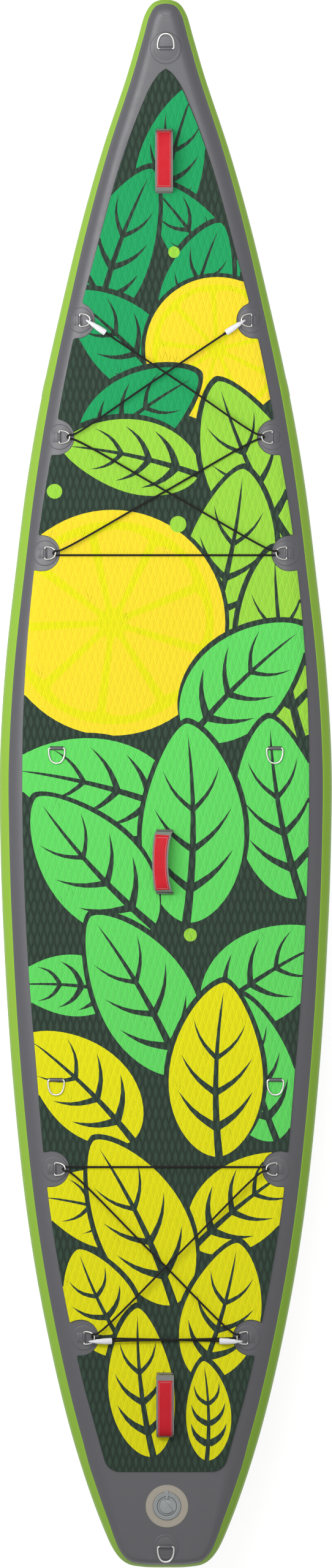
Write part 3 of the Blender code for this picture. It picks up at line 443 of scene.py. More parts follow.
class PaddleBoardColours(bpy.types.PropertyGroup):
    """Colours of the board's materials"""

    deck: colour("Deck", "Grey PVC of the deck and the patches", 86, 86, 91)
    rail: colour("Rail", "Green PVC of the rail bands", 158, 204, 72)
    underside: colour("Underside", "PVC of the underside", 222, 224, 222)
    ground: colour("Pad ground", "Dark ground of the pad's print", 56, 76, 63)
    emerald: colour("Emerald", "Darker leaves of the print", 31, 165, 98)
    lime: colour("Lime", "Yellow-green leaves of the print", 159, 219, 69)
    mint: colour("Mint", "Light green leaves of the print", 102, 221, 102)
    yellow: colour("Yellow", "Fruit slices of the print", 255, 226, 46)
    lemon: colour("Lemon", "Lemon yellow leaves of the print", 236, 232, 15)
    edge: colour("Pad edge", "Cut edge of the foam", 46, 62, 52)
    webbing: colour("Webbing", "Grey webbing of the handles", 150, 149, 146)
    panel: colour("Panel", "Red panels of the handles", 211, 32, 46)
    hook: colour("Hook", "White nylon hooks", 240, 240, 246)
    cord: colour("Bungee", "Black bungee cord", 15, 14, 14)
    label: colour("Valve ring", "Beige ring round the valve", 174, 166, 153)
    valve: colour("Valve", "Grey plastic of the valve", 158, 163, 163)
    fin: colour("Fin", "Black nylon of the fin", 26, 26, 28)


class Finish:
    """A node material in the making, with short ways to add the textures that the finishes share."""

    def __init__(self, name, base, roughness, metallic=0.0, specular=0.5):
        self.material = bpy.data.materials.new(name)
        self.material.use_nodes = True
        self.tree = self.material.node_tree
        self.shader = self.tree.nodes["Principled BSDF"]
        self.base = base
        self.shader.inputs["Base Color"].default_value = (*base, 1.0)
        self.shader.inputs["Roughness"].default_value = roughness
        self.shader.inputs["Metallic"].default_value = metallic
        self.shader.inputs["Specular IOR Level"].default_value = specular
        self.place = self.add("ShaderNodeTexCoord").outputs["Object"]
        self.relief = None

    def add(self, kind, values=None, **settings):
        node = self.tree.nodes.new(kind)
        for key, value in settings.items():
            setattr(node, key, value)
        for key, value in (values or {}).items():
            if isinstance(value, bpy.types.NodeSocket):
                self.tree.links.new(value, node.inputs[key])
            else:
                node.inputs[key].default_value = value
        return node

    def turned(self, degrees=(0.0, 0.0, 0.0), scale=(1.0, 1.0, 1.0)):
        """The object's coordinates, turned and stretched."""
        angles = [math.radians(value) for value in degrees]
        node = self.add("ShaderNodeMapping", {"Vector": self.place, "Rotation": angles, "Scale": scale})
        return node.outputs["Vector"]

    def noise(self, scale, detail, place=None):
        values = {"Vector": place or self.place, "Scale": scale, "Detail": detail, "Roughness": 0.55}
        return self.add("ShaderNodeTexNoise", values).outputs["Fac"]

    def ribs(self, pitch, place=None, direction="X", distortion=0.0):
        """Straight ribs this far apart. At scale 1 the texture repeats every tenth of pi."""
        values = {"Vector": place or self.place, "Scale": math.pi / 10 / pitch}
        values |= {"Distortion": distortion, "Detail": 0.0}
        return self.add("ShaderNodeTexWave", values, bands_direction=direction).outputs["Fac"]

    def crossed(self, pitch, degrees):
        """Two families of ribs that lean this far either way."""
        return self.product(*(self.ribs(pitch, self.turned((0, 0, angle))) for angle in (degrees, -degrees)))

    def product(self, first, second):
        return self.add("ShaderNodeMath", {0: first, 1: second}, operation="MULTIPLY").outputs[0]

    def spread(self, value, low, high, start, end):
        """The value carried from the range start to end over to the range low to high."""
        values = {"Value": value, "From Min": start, "From Max": end, "To Min": low, "To Max": high}
        return self.add("ShaderNodeMapRange", values).outputs["Result"]

    def tint(self, factor, shade, tone=None):
        """Mixes a shade of the base, or a tone of its own, into the colour where the factor is high."""
        before = self.shader.inputs["Base Color"]
        node = self.add("ShaderNodeMix", {0: factor}, data_type="RGBA")
        if before.is_linked:
            self.tree.links.new(before.links[0].from_socket, node.inputs[6])
        else:
            node.inputs[6].default_value = before.default_value
        target = tone or [min(1.0, part * shade) for part in self.base]
        node.inputs[7].default_value = (*target, 1.0)
        self.tree.links.new(node.outputs[2], before)

    def shade(self, value, most, start, end, shade, tone=None):
        """Tints by a factor that grows to most as the value goes from start to end."""
        self.tint(self.spread(value, 0.0, most, start, end), shade, tone)

    def gloss(self, value, low, high):
        """Roughness from low to high as the value goes through its middle range."""
        self.tree.links.new(self.spread(value, low, high, 0.3, 0.7), self.shader.inputs["Roughness"])

    def bump(self, height, distance, strength):
        """Adds relief of this depth in metres over what is there."""
        values = {"Height": height, "Distance": distance, "Strength": strength}
        if self.relief:
            values["Normal"] = self.relief
        self.relief = self.add("ShaderNodeBump", values).outputs["Normal"]
        self.tree.links.new(self.relief, self.shader.inputs["Normal"])


def pvc_finish(name, base, roughness=0.36, specular=0.6, pitch=0.0044):
    """Welded PVC with its shallow diagonal emboss, fine grain and a soft sheen."""
    finish = Finish(name, base, roughness, specular=specular)
    cloth = finish.crossed(pitch, 32)
    # Painted highlight: the raised emboss is tinted lighter
    finish.shade(cloth, 0.22, 0.0, 0.9, 1.22)
    finish.shade(finish.noise(2.4, 3.0), 0.22, 0.42, 0.75, 0.92)
    finish.shade(finish.noise(900.0, 2.0), 0.12, 0.45, 0.8, 1.18)
    finish.gloss(finish.noise(30.0, 3.0), roughness - 0.02, roughness + 0.04)
    finish.bump(cloth, pitch / 20, 0.6)
    finish.bump(finish.noise(900.0, 2.0), 0.00003, 0.5)
    return finish.material


def foam_finish(name, base, painted_groove_tone):
    """Printed EVA foam: brushed grain over diamonds that swell between their grooves."""
    sizes = bpy.context.scene.paddle_board_sizes
    finish = Finish(name, base, 0.88, specular=0.3)
    pitch = sizes.diamond_width * sizes.diamond_length / math.hypot(sizes.diamond_width, sizes.diamond_length)
    lean = math.degrees(math.atan2(sizes.diamond_width, sizes.diamond_length))
    swell = finish.crossed(pitch, lean)
    # Painted shade: the grooves are tinted darker on the dark inks; on the bright inks they are tinted
    # slightly lighter
    finish.tint(finish.spread(swell, 1.0, 0.0, 0.0, 0.55), painted_groove_tone)
    grain = finish.noise(1700.0, 3.0)
    brushed = finish.noise(420.0, 3.0, finish.turned(scale=(1.0, 0.3, 1.0)))
    finish.shade(grain, 0.25, 0.42, 0.72, 0.84)
    finish.shade(brushed, 0.20, 0.48, 0.75, 1.16)
    finish.shade(finish.noise(3.2, 5.0), 0.15, 0.46, 0.74, 0.90)
    finish.gloss(grain, 0.80, 0.96)
    finish.shader.inputs["Sheen Weight"].default_value = 0.08
    finish.bump(swell, 0.0006, 1.0)
    finish.bump(grain, 0.00012, 0.8)
    finish.bump(brushed, 0.00020, 0.5)
    return finish.material


def webbing_finish(name, base):
    """Woven polyester webbing: a herringbone of warp ribs with the weft between them."""
    finish = Finish(name, base, 0.82, specular=0.35)
    warp = finish.ribs(0.0016)
    weft = finish.ribs(0.0013, finish.turned((0, 0, 28)), direction="Y")
    weave = finish.product(warp, weft)
    # Painted shade: the low places between the woven ribs are tinted darker
    finish.tint(finish.spread(weave, 0.55, 0.0, 0.0, 0.5), 0.62)
    finish.shade(finish.noise(1500.0, 2.0), 0.35, 0.45, 0.8, 1.22)
    finish.shade(finish.noise(24.0, 4.0), 0.25, 0.5, 0.75, 0.85)
    finish.shader.inputs["Sheen Weight"].default_value = 0.15
    finish.bump(weave, 0.00045, 0.9)
    return finish.material


def panel_finish(name, base):
    """Red coated cloth of the handle panels: tight weave under a rubbery coat."""
    finish = Finish(name, base, 0.55, specular=0.2)
    weave = finish.crossed(0.0011, 45)
    # Painted highlight: the raised weave is tinted lighter
    finish.shade(weave, 0.18, 0.0, 0.9, 1.15)
    finish.shade(finish.noise(40.0, 5.0), 0.3, 0.45, 0.75, 0.82)
    finish.gloss(finish.noise(60.0, 3.0), 0.46, 0.66)
    finish.bump(weave, 0.00018, 0.8)
    return finish.material


def steel_finish(name):
    """Polished stainless steel with fine drawn scratches and a faint heat tint."""
    finish = Finish(name, (0.56, 0.55, 0.53), 0.16, metallic=1.0)
    scratches = finish.noise(700.0, 4.0, finish.turned((0, 0, 20), (1.0, 0.08, 1.0)))
    finish.shade(scratches, 0.35, 0.5, 0.75, 0.72)
    finish.shade(finish.noise(90.0, 3.0), 0.25, 0.5, 0.8, 0.8, (0.42, 0.38, 0.31))
    finish.gloss(scratches, 0.10, 0.30)
    finish.bump(scratches, 0.00003, 0.5)
    return finish.material


def cord_finish(name, base):
    """Braided bungee sleeve: black yarn with a dull sheen, its raised strands tinted lighter as a painted
    highlight.
    """
    finish = Finish(name, base, 0.72, specular=0.25)
    yarn = finish.ribs(0.0009, finish.turned((20, 0, 38)), distortion=1.5)
    # Painted highlight: the raised strands are tinted lighter
    finish.shade(yarn, 0.5, 0.3, 1.0, 2.0)
    finish.shade(finish.noise(260.0, 3.0), 0.4, 0.5, 0.8, 0.4)
    finish.shader.inputs["Sheen Weight"].default_value = 0.05
    finish.bump(yarn, 0.00018, 0.8)
    return finish.material


def moulded_finish(name, base, roughness=0.34, grain=900.0):
    """Moulded plastic with a fine spark-eroded grain, flow clouds and small scratches."""
    finish = Finish(name, base, roughness)
    texture = finish.noise(grain, 3.0)
    finish.shade(finish.noise(32.0, 4.0), 0.3, 0.45, 0.78, 0.86)
    finish.shade(texture, 0.2, 0.5, 0.8, 1.15)
    scratches = finish.noise(180.0, 5.0, finish.turned((0, 0, 50), (1.0, 0.06, 1.0)))
    finish.shade(scratches, 0.3, 0.66, 0.8, 1.25)
    finish.gloss(texture, roughness - 0.06, roughness + 0.12)
    finish.bump(texture, 0.00010, 0.6)
    return finish.material


def thread_finish(name, base):
    """Twisted sewing thread."""
    finish = Finish(name, base, 0.7, specular=0.3)
    twist = finish.ribs(0.0006, finish.turned((0, 0, 40)))
    finish.shade(twist, 0.5, 0.2, 0.9, 0.6)
    finish.bump(twist, 0.00010, 0.8)
    return finish.material


FINISHES = {}


def finish_named(name):
    """The board's material of this name, made at its first use."""
    if name not in FINISHES:
        FINISHES[name] = make_finish(name)
    return FINISHES[name]


def make_finish(name):
    tones = bpy.context.scene.paddle_board_colours
    if name.startswith("foam_"):
        dark = name in ("foam_ground", "foam_edge")
        # Dark inks get painted shade in their grooves, bright inks a slightly lighter tint there
        return foam_finish(name, getattr(tones, name[5:]), 0.55 if dark else 1.06)
    makers = {
        "deck_cloth": lambda: pvc_finish(name, tones.deck),
        "patch_cloth": lambda: pvc_finish(name, tones.deck, pitch=0.0014),
        "rail_cloth": lambda: pvc_finish(name, tones.rail, 0.42, 0.1),
        "underside_cloth": lambda: pvc_finish(name, tones.underside, 0.40, 0.4),
        "label_sheet": lambda: moulded_finish(name, tones.label, 0.48, 1500.0),
        "handle_webbing": lambda: webbing_finish(name, tones.webbing),
        "handle_panel": lambda: panel_finish(name, tones.panel),
        "handle_thread": lambda: thread_finish(name, (0.55, 0.54, 0.52)),
        "ring_steel": lambda: steel_finish(name),
        "bungee_braid": lambda: cord_finish(name, tones.cord),
        "hook_nylon": lambda: moulded_finish(name, tones.hook, 0.38, 1200.0),
        "valve_plastic": lambda: moulded_finish(name, tones.valve, 0.30),
        "fin_nylon": lambda: moulded_finish(name, tones.fin, 0.36, 700.0),
    }
    return makers[name]()


def add_object(name, data):
    """A new object in the scene for a mesh, curve, lamp or camera."""
    obj = bpy.data.objects.new(name, data)
    bpy.context.scene.collection.objects.link(obj)
    return obj


def mesh_made_by(obj):
    """The mesh that an object's curve settings or modifiers make."""
    bpy.context.view_layer.update()
    return bpy.data.meshes.new_from_object(obj.evaluated_get(bpy.context.evaluated_depsgraph_get()))


def make_piece(name, bm, finishes, body, replaces=(), smooth=35.0, normals=True):
    """Turns a finished mesh into a piece that rides on a body and stands for CAD nodes."""
    if normals:
        bmesh.ops.recalc_face_normals(bm, faces=bm.faces)
    mesh = bpy.data.meshes.new(name)
    bm.to_mesh(mesh)
    bm.free()
    for finish in finishes:
        mesh.materials.append(finish_named(finish))
    mesh.shade_smooth()
    mesh.set_sharp_from_angle(angle=math.radians(smooth))
    obj = add_object(name, mesh)
    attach(obj, body)
    if replaces:
        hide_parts(*replaces)
    return obj


def dress_node(node, finish):
    """Gives a CAD node whose shape is right its material."""
    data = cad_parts[node].data
    data.materials.clear()
    data.materials.append(finish_named(finish))


def between(table, y):
    """Value at y, straight between the table's rows."""
    for (high, first), (low, second) in zip(table, table[1:]):
        if y >= low:
            return first + (second - first) * min(1.0, max(0.0, (high - y) / (high - low)))
    return table[-1][1]


def on_curve(points, position, mirrored=False):
    """Point on the smooth curve through the points. A mirrored curve carries on across X = 0."""
    index = min(int(position), len(points) - 2)
    share = position - index

    def ghost(end, near):
        if mirrored and not end.x:
            return Vector((-near.x, near.y))
        return 2 * end - near

    a = Vector(points[index])
    b = Vector(points[index + 1])
    before = Vector(points[index - 1]) if index else ghost(a, b)
    after = Vector(points[index + 2]) if index + 2 < len(points) else ghost(b, a)
    knots = [0.0]
    for first, second in ((before, a), (a, b), (b, after)):
        knots.append(knots[-1] + max(1e-6, (second - first).length) ** 0.5)
    t = knots[1] + share * (knots[2] - knots[1])

    def mix(first, second, low, high):
        return first + (second - first) * ((t - low) / (high - low))

    one = mix(before, a, knots[0], knots[1])
    two = mix(a, b, knots[1], knots[2])
    three = mix(b, after, knots[2], knots[3])
    return mix(mix(one, two, knots[0], knots[2]), mix(two, three, knots[1], knots[3]), knots[1], knots[2])


def smooth_points(points, most, mirrored=False):
    """Points along the smooth curve, no further apart than most."""
    found = []
    for index in range(len(points) - 1):
        length = (Vector(points[index + 1]) - Vector(points[index])).length
        pieces = max(1, math.ceil(length / most))
        found += [on_curve(points, index + step / pieces, mirrored) for step in range(pieces)]
    return found + [Vector(points[-1])]


def lengths_along(points):
    """Length of a line up to each of its points."""
    lengths = [0.0]
    for first, second in zip(points, points[1:]):
        lengths.append(lengths[-1] + (second - first).length)
    return lengths


def evenly(points, step, closed=False):
    """The same line with its points this far apart."""
    line = list(points) + ([points[0]] if closed else [])
    lengths = lengths_along(line)
    count = max(2, round(lengths[-1] / step))
    found = []
    for index in range(count + (0 if closed else 1)):
        target = lengths[-1] * index / count
        after = min(max(1, bisect.bisect_left(lengths, target)), len(line) - 1)
        share = (target - lengths[after - 1]) / max(1e-9, lengths[after] - lengths[after - 1])
        found.append(line[after - 1].lerp(line[after], share))
    return found


def rocker(y):
    """Rise of the underside towards the nose."""
    share = (y - ROCKER_START) / (NOSE_TIP - ROCKER_START)
    return NOSE_ROCKER * max(0.0, share) ** ROCKER_POWER


def rocker_slope(y):
    span = NOSE_TIP - ROCKER_START
    return NOSE_ROCKER * ROCKER_POWER / span * max(0.0, (y - ROCKER_START) / span) ** (ROCKER_POWER - 1)


def middle_height(y):
    return rocker(y) + THICKNESS / 2


def deck_height(y):
    return middle_height(y) + between(HALF_THICKNESS, y)


def make_station(position):
    """Edge of the hull at a place on its outline, with the rail's sizes there."""
    edge = on_curve(OUTLINE, position, True)
    step = 0.01
    last = len(OUTLINE) - 1
    ahead = on_curve(OUTLINE, min(last, position + step), True)
    behind = on_curve(OUTLINE, max(0, position - step), True)
    run = (ahead - behind).normalized()
    inward = Vector((run.y, -run.x))
    if position in (0, last):
        inward = Vector((0.0, -1.0 if position == 0 else 1.0))
    return {
        "edge": edge,
        "inward": inward,
        "rail": between(RAIL_DEPTH, edge.y),
        "half": between(HALF_THICKNESS, edge.y),
        "seam": between(SEAM_ANGLES, edge.y),
    }


def make_stations(steps):
    last = len(OUTLINE) - 1
    return [make_station(index / steps) for index in range(last * steps + 1)]


STATIONS = make_stations(10)
STATION_PLACES = [-station["edge"].y for station in STATIONS]


def hull_point(station, degrees, lift=0.0):
    """Point on the hull, by the angle round the rail: 90 is the deck, 0 the edge, -90 the bottom."""
    turn = math.radians(degrees)
    reach = station["rail"] - (station["rail"] + lift) * math.cos(turn)
    place = station["edge"] + station["inward"] * reach
    height = middle_height(place.y) + (station["half"] + lift) * math.sin(turn)
    return Vector((place.x, place.y, height))


def seamed_point(station, degrees, lift=0.0):
    """Point on the hull by the angle it has where the seam lies at its usual angle."""
    seam = station["seam"]
    if abs(degrees) > USUAL_SEAM:
        share = (90.0 - abs(degrees)) / (90.0 - USUAL_SEAM)
        turned = 90.0 - share * (90.0 - seam)
    else:
        turned = abs(degrees) / USUAL_SEAM * seam
    return hull_point(station, math.copysign(turned, degrees), lift)


def centre_point(station, side, lift):
    flat = hull_point(station, 90.0 * side, lift)
    return Vector((0.0, flat.y, flat.z))


def deck_surface(x, y):
    """Point and outward normal of the deck at a place in plan, on the flat or on the rail's curve."""
    index = min(max(1, bisect.bisect_left(STATION_PLACES, -y)), len(STATIONS) - 1)
    first, second = STATIONS[index - 1], STATIONS[index]
    run = second["edge"] - first["edge"]
    share = (y - first["edge"].y) / run.y
    width = first["edge"].x + run.x * share
    lean = left_of(run).normalized()
    rail = first["rail"] + (second["rail"] - first["rail"]) * share
    half = between(HALF_THICKNESS, y)
    past = rail - (width - abs(x)) * lean.x
    if past <= 0:
        return Vector((x, y, deck_height(y))), Vector((0, -rocker_slope(y), 1)).normalized()
    drop = math.sqrt(max(1e-6, 1 - (past / rail) ** 2))
    fall = half * past / (rail * rail * drop)
    side = math.copysign(1.0, x)
    normal = Vector((side * fall * lean.x, -rocker_slope(y) + fall * lean.y, 1))
    return Vector((x, y, middle_height(y) + half * drop)), normal.normalized()


def on_deck(x, y, lift):
    point, normal = deck_surface(x, y)
    return point + normal * lift


def frame_at(point, forward, normal):
    """Frame with X along forward, as near as the normal allows, and Z along the normal."""
    across = normal.cross(forward).normalized()
    along = across.cross(normal)
    matrix = Matrix((along, across, normal)).transposed().to_4x4()
    matrix.translation = point
    return matrix


def mirrored(points):
    return [Vector((-point.x, point.y, point.z)) for point in points]


def loft(bm, loops, closed=True, paint=None, caps=False, around=False):
    """Skins over rows of equally many points. Closed rows join up, and around joins the last to the first."""
    grid = [[bm.verts.new(point) for point in loop] for loop in loops]
    pairs = list(zip(grid, grid[1:])) + ([(grid[-1], grid[0])] if around else [])
    count = len(grid[0])
    for first, second in pairs:
        for column in range(count if closed else count - 1):
            after = (column + 1) % count
            corners = (first[column], first[after], second[after], second[column])
            if len({tuple(round(part, 6) for part in corner.co) for corner in corners}) < 3:
                continue
            face = bm.faces.new(corners)
            if paint:
                face.material_index = paint[column]
    if caps:
        bm.faces.new(grid[0])
        bm.faces.new(list(reversed(grid[-1])))
    return grid


def sweep(bm, path, ring_of, closed=False, up=(0.0, 0.0, 1.0), caps=True):
    """Skins a tube along a path. ring_of(travelled) gives the cross-section's (across, up) points.

    The section starts upright along up, or follows a list of upward directions, one for each point.
    """
    loops = []
    travelled = 0.0
    normal = Vector((0.0, 0.0, 1.0)) if isinstance(up, list) else Vector(up)
    count = len(path)
    for index, point in enumerate(path):
        if isinstance(up, list):
            normal = up[index]
        before = path[index - 1] if index or closed else point
        after = path[(index + 1) % count] if closed or index + 1 < count else point
        tangent = (after - before).normalized()
        normal = (normal - tangent * normal.dot(tangent)).normalized()
        side = tangent.cross(normal)
        loops.append([point + side * across + normal * rise for across, rise in ring_of(travelled)])
        travelled += (after - point).length
    return loft(bm, loops, caps=caps and not closed, around=closed)


def full_turn(sides):
    """Angles once round in this many equal steps."""
    return [2 * math.pi * step / sides for step in range(sides)]


def heading(turn):
    """Direction in plan at this angle."""
    return Vector((math.cos(turn), math.sin(turn)))


def left_of(run):
    """Direction in plan a quarter turn to the left."""
    return Vector((-run.y, run.x))


def round_section(radius, sides):
    return [(radius * math.cos(turn), radius * math.sin(turn)) for turn in full_turn(sides)]


def arc_profile(centre, radius, start, end, steps):
    """Points of an arc from start to end, both in degrees."""
    angles = [math.radians(start + (end - start) * step / steps) for step in range(steps + 1)]
    return [(centre[0] + radius * math.cos(a), centre[1] + radius * math.sin(a)) for a in angles]


def lathe(bm, profile, sides, place):
    """A solid turned round Z from a closed profile of (radius, height) points."""
    loops = []
    for turn in full_turn(sides):
        loops.append([place @ Vector((r * math.cos(turn), r * math.sin(turn), z)) for r, z in profile])
    loft(bm, loops, around=True)
    bmesh.ops.remove_doubles(bm, verts=bm.verts, dist=1e-6)


def add_rod(bm, radii, depth, middle, sides):
    """A round bar along the Z of its middle's frame, with its radii below and above."""
    low, high = radii
    bmesh.ops.create_cone(
        bm, cap_ends=True, segments=sides, radius1=low, radius2=high, depth=depth, matrix=middle
    )


def rounded_box(bm, low, high, place, bevel, segments=3):
    """A box between two corners in the frame of place, with rounded edges."""
    low, high = Vector(low), Vector(high)
    matrix = place @ Matrix.Translation((low + high) / 2) @ Matrix.Diagonal((*(high - low), 1.0))
    made = bmesh.ops.create_cube(bm, size=1.0, matrix=matrix)
    edges = {edge for vert in made["verts"] for edge in vert.link_edges}
    bmesh.ops.bevel(bm, geom=list(edges), offset=bevel, segments=segments, affect="EDGES", profile=0.5)


def plate(name, outlines, low, high, place, bevel):
    """Mesh of a plate with the first outline outside and the others as holes, edges rounded by the bevel."""
    curve = bpy.data.curves.new(name, "CURVE")
    curve.dimensions = "2D"
    curve.fill_mode = "BOTH"
    curve.extrude = (high - low) / 2 - bevel
    curve.bevel_depth = bevel
    curve.offset = -bevel
    curve.bevel_resolution = 2
    for outline in outlines:
        spline = curve.splines.new("POLY")
        spline.points.add(len(outline) - 1)
        for point, (x, y) in zip(spline.points, outline):
            point.co = (x, y, 0.0, 1.0)
        spline.use_cyclic_u = True
    obj = add_object(name, curve)
    mesh = mesh_made_by(obj)
    bpy.data.objects.remove(obj, do_unlink=True)
    mesh.transform(place @ Matrix.Translation((0, 0, (low + high) / 2)))
    return mesh


def absorb(bm, mesh):
    bm.from_mesh(mesh)
    bpy.data.meshes.remove(mesh)
    bmesh.ops.remove_doubles(bm, verts=bm.verts, dist=1e-6)


def shell_rows(stations, outer, inner):
    """Closed rows of a band on the right side: outer (angle, lift) pairs, then the inner ones back."""
    rows = []
    for station in stations:
        row = [seamed_point(station, degrees, lift) for degrees, lift in outer]
        rows.append(row + [seamed_point(station, degrees, lift) for degrees, lift in reversed(inner)])
    return rows


def make_skin(name, side, finish, replaces):
    """The deck or the underside, as one shell from seam to seam."""
    rows = []
    for station in STATIONS:
        across = []
        for lift in (0.0, -SKIN):
            half = [seamed_point(station, side * degrees, lift) for degrees in SKIN_ANGLES]
            middle = centre_point(station, side, lift)
            flat = half[0].lerp(middle, 0.5)
            across.append([*reversed(half), flat, middle, *mirrored([flat]), *mirrored(half)])
        outside, inside = across
        rows.append(outside + list(reversed(inside)))
    bm = bmesh.new()
    loft(bm, rows)
    bmesh.ops.remove_doubles(bm, verts=bm.verts, dist=2e-5)
    make_piece(name, bm, [finish], "board", replaces)


def make_rail(name, stations, ends, replaces, overlap):
    """A rail band of one length: proud of the deck, with a second tape along its middle."""
    lift = bpy.context.scene.paddle_board_sizes.rail_lift
    upper = [(degrees, rise * lift) for degrees, rise in RAIL_TAPES]
    outer = upper + [(-degrees, rise) for degrees, rise in reversed(upper[:-1])]
    inner = [(degrees, -SKIN if abs(degrees) < RAIL_TUCK else -TUCK_SKIN) for degrees, _ in outer]
    rows = shell_rows(stations, outer, inner)
    half = len(outer)
    if overlap:
        for row, station in zip(rows, stations):
            near = max(0.0, 1 - abs(station["edge"].y - RAIL_JOIN) / OVERLAP_REACH)
            for index in range(half):
                out = (row[index] - row[-1 - index]).normalized()
                row[index] += out * (OVERLAP_RISE * min(1.0, near * 3))
    bm = bmesh.new()
    if ends == "nose":
        rows = [mirrored(row) for row in reversed(rows[1:])] + rows
    else:
        rows = rows + [mirrored(row) for row in reversed(rows[:-1])]
    grid = loft(bm, rows)
    for row in (grid[0], grid[-1]):
        for index in range(half - 1):
            bm.faces.new((row[index], row[index + 1], row[-2 - index], row[-1 - index]))
    bmesh.ops.remove_doubles(bm, verts=bm.verts, dist=2e-5)
    make_piece(name, bm, ["rail_cloth"], "board", replaces, smooth=50.0)


def ring_points(ring, arc=28, corner_steps=5):
    """The ring's wire in its own plane: the bar lies on Y, the loop reaches along X."""
    half, depth, corner = ring["half"], ring["depth"], ring["corner"]
    loop = []
    for step in range(arc + 1):
        turn = math.pi * step / arc
        ahead = abs(math.sin(turn)) ** RING_FULLNESS
        across = math.copysign(abs(math.cos(turn)) ** RING_FULLNESS, math.cos(turn))
        loop.append(Vector((corner + (depth - corner) * ahead, half * across, 0.0)))
    foot = []
    for step in range(1, corner_steps + 1):
        turn = math.pi / 2 * step / corner_steps
        foot.append(Vector((corner - corner * math.sin(turn), -half + corner - corner * math.cos(turn), 0.0)))
    head = [Vector((point.x, -point.y, 0.0)) for point in reversed(foot)]
    return loop + foot + head


def make_ring(name, ring, place, body, node):
    """A polished D-ring: round wire with the butt weld of its bar."""
    path = [place @ point for point in evenly(ring_points(ring), RING_STEP, closed=True)]
    bm = bmesh.new()
    wire = round_section(ring["wire"], 14)
    sweep(bm, path, lambda _: wire, closed=True, up=place.to_3x3() @ Vector((0, 0, 1)))
    for vert in bm.verts:
        if (vert.co - place.translation).length < WELD_REACH:
            axis = min(path, key=lambda point: (point - vert.co).length)
            vert.co += (vert.co - axis).normalized() * WELD_RISE
    make_piece(name, bm, ["ring_steel"], body, [node], smooth=60.0)


def add_patch_sheet(bm, centre, radius, rise):
    """The round sheet of a patch, with its disc raised over it."""
    loops = []
    for turn in full_turn(64):
        out = heading(turn) * radius
        row = []
        for share, thickness, raised in PATCH_PROFILE:
            spot = centre + out * share
            row.append(on_deck(spot.x, spot.y, GAP + PATCH * thickness + rise * raised))
        loops.append(row)
    loft(bm, loops, closed=False, around=True)
    bmesh.ops.remove_doubles(bm, verts=bm.verts, dist=1e-6)


def make_patch(name, ring, place, bar_height, radius, node, kind):
    """A round welded patch with the tab that holds the ring's bar. Its kind is wide, small or under_pad."""
    bm = bmesh.new()
    add_patch_sheet(bm, place.translation.to_2d(), radius, DISC_RISE if kind == "wide" else 0.0)
    hole = ring["wire"] + TAB_PLAY
    outer = hole + (WIDE_TAB_SKIN if kind == "wide" else TAB_SKIN)
    base = GAP + PATCH / 2
    half = ring["tab"] if kind == "small" else WIDE_TAB
    outline = [(outer, base), (outer, bar_height), *arc_profile((0.0, bar_height), outer, 15, 165, 10)]
    if kind == "small":
        # The back of the tab slopes down to its foot
        heel, toe = FOOT_THICKNESS
        outline += [(-outer * 1.02, bar_height * 0.8), (-outer * 1.35, bar_height * 0.55 + base * 0.45)]
        outline += [(-TAB_FOOT * 0.75, base + heel), (-TAB_FOOT, base + toe), (-TAB_FOOT, base)]
    else:
        outline += [(-outer, bar_height), (-outer, base)]
    bore = arc_profile((0.0, bar_height), hole, 0, 345, 23)
    sideways = place @ Matrix.Rotation(math.pi / 2, 4, "X")
    absorb(bm, plate(name + "_tab", [outline, bore], -half, half, sideways, TAB_BEVEL))
    if kind == "small":
        flap = half * FLAP_SHARE
        behind, ahead = FLAP_REACH
        low = (-TAB_FOOT - behind, -flap, base)
        rounded_box(bm, low, (outer + ahead, flap, GAP + PATCH + FLAP_THICKNESS), place, 0.0003, 2)
        back = -TAB_FOOT + 0.0015
        add_stitches(bm, place, [(back, -flap * 0.8), (back, flap * 0.8)], base + 0.0026)
    make_piece(name, bm, ["patch_cloth"], "board", [node], normals=False)


def add_stitches(bm, place, line, height):
    """A row of stitches along a straight line in the frame of place."""
    start, end = (Vector((*point, height)) for point in line)
    count = max(1, int((end - start).length / (PATCH_STITCH * 1.25)))
    run = (end - start) / count
    for index in range(count):
        a = start + run * (index + 0.12)
        b = start + run * (index + 0.88)
        mid = (a + b) / 2 + Vector((0, 0, PATCH_THREAD * 0.7))
        path = [place @ point for point in smooth_points([a, mid, b], PATCH_STITCH / 3)]
        sweep(bm, path, lambda _: round_section(PATCH_THREAD, 6), up=place.to_3x3() @ Vector((0, 0, 1)))


def add_stitch(bm, start, end, radius, up=(0.0, 0.0, 1.0), crown=0.0):
    """One stitch, raised in its middle by the crown."""
    middle = (start + end) / 2 + Vector(up) * crown
    sweep(bm, [start, middle, end], lambda _: round_section(radius, 6), up=up)


def tilted(place, bar_height, degrees):
    """Frame of a ring that is turned up about its bar."""
    return place @ Matrix.Translation((0, 0, bar_height)) @ Matrix.Rotation(math.radians(-degrees), 4, "Y")


def resting_tilt(ring, bar_over):
    """Tilt of a ring whose loop rests on what its bar is this far over."""
    return -math.degrees(math.asin((bar_over - ring["wire"] - 2 * GAP) / ring["depth"]))


def bar_over_patch(ring):
    return GAP + PATCH + TAB_SKIN + TAB_PLAY + ring["wire"]


def make_free_ring(names, spot, way, height, bar_over, radius, kind):
    """A large ring that swings, on its patch. The names are the patch's piece and node, then the ring's."""
    patch, patch_node, ring, ring_node = names
    point, normal = deck_surface(*spot)
    place = frame_at(point, Vector((0, way, 0)), normal)
    make_patch(patch, LARGE_RING, place, height, radius, patch_node, kind)
    tilt = resting_tilt(LARGE_RING, bar_over)
    make_ring(ring, LARGE_RING, tilted(place, height, tilt), ring_node, ring_node)


def laced_tilt(place, bar_height, loop_height):
    """Tilt of a small ring whose loop is held at a height."""
    bar = place @ Vector((0, 0, bar_height))
    rise = (loop_height - bar.z) / SMALL_RING["depth"]
    ahead, up = place[2][0], place[2][2]
    return math.degrees(math.asin(rise / math.hypot(ahead, up)) - math.atan2(ahead, up))


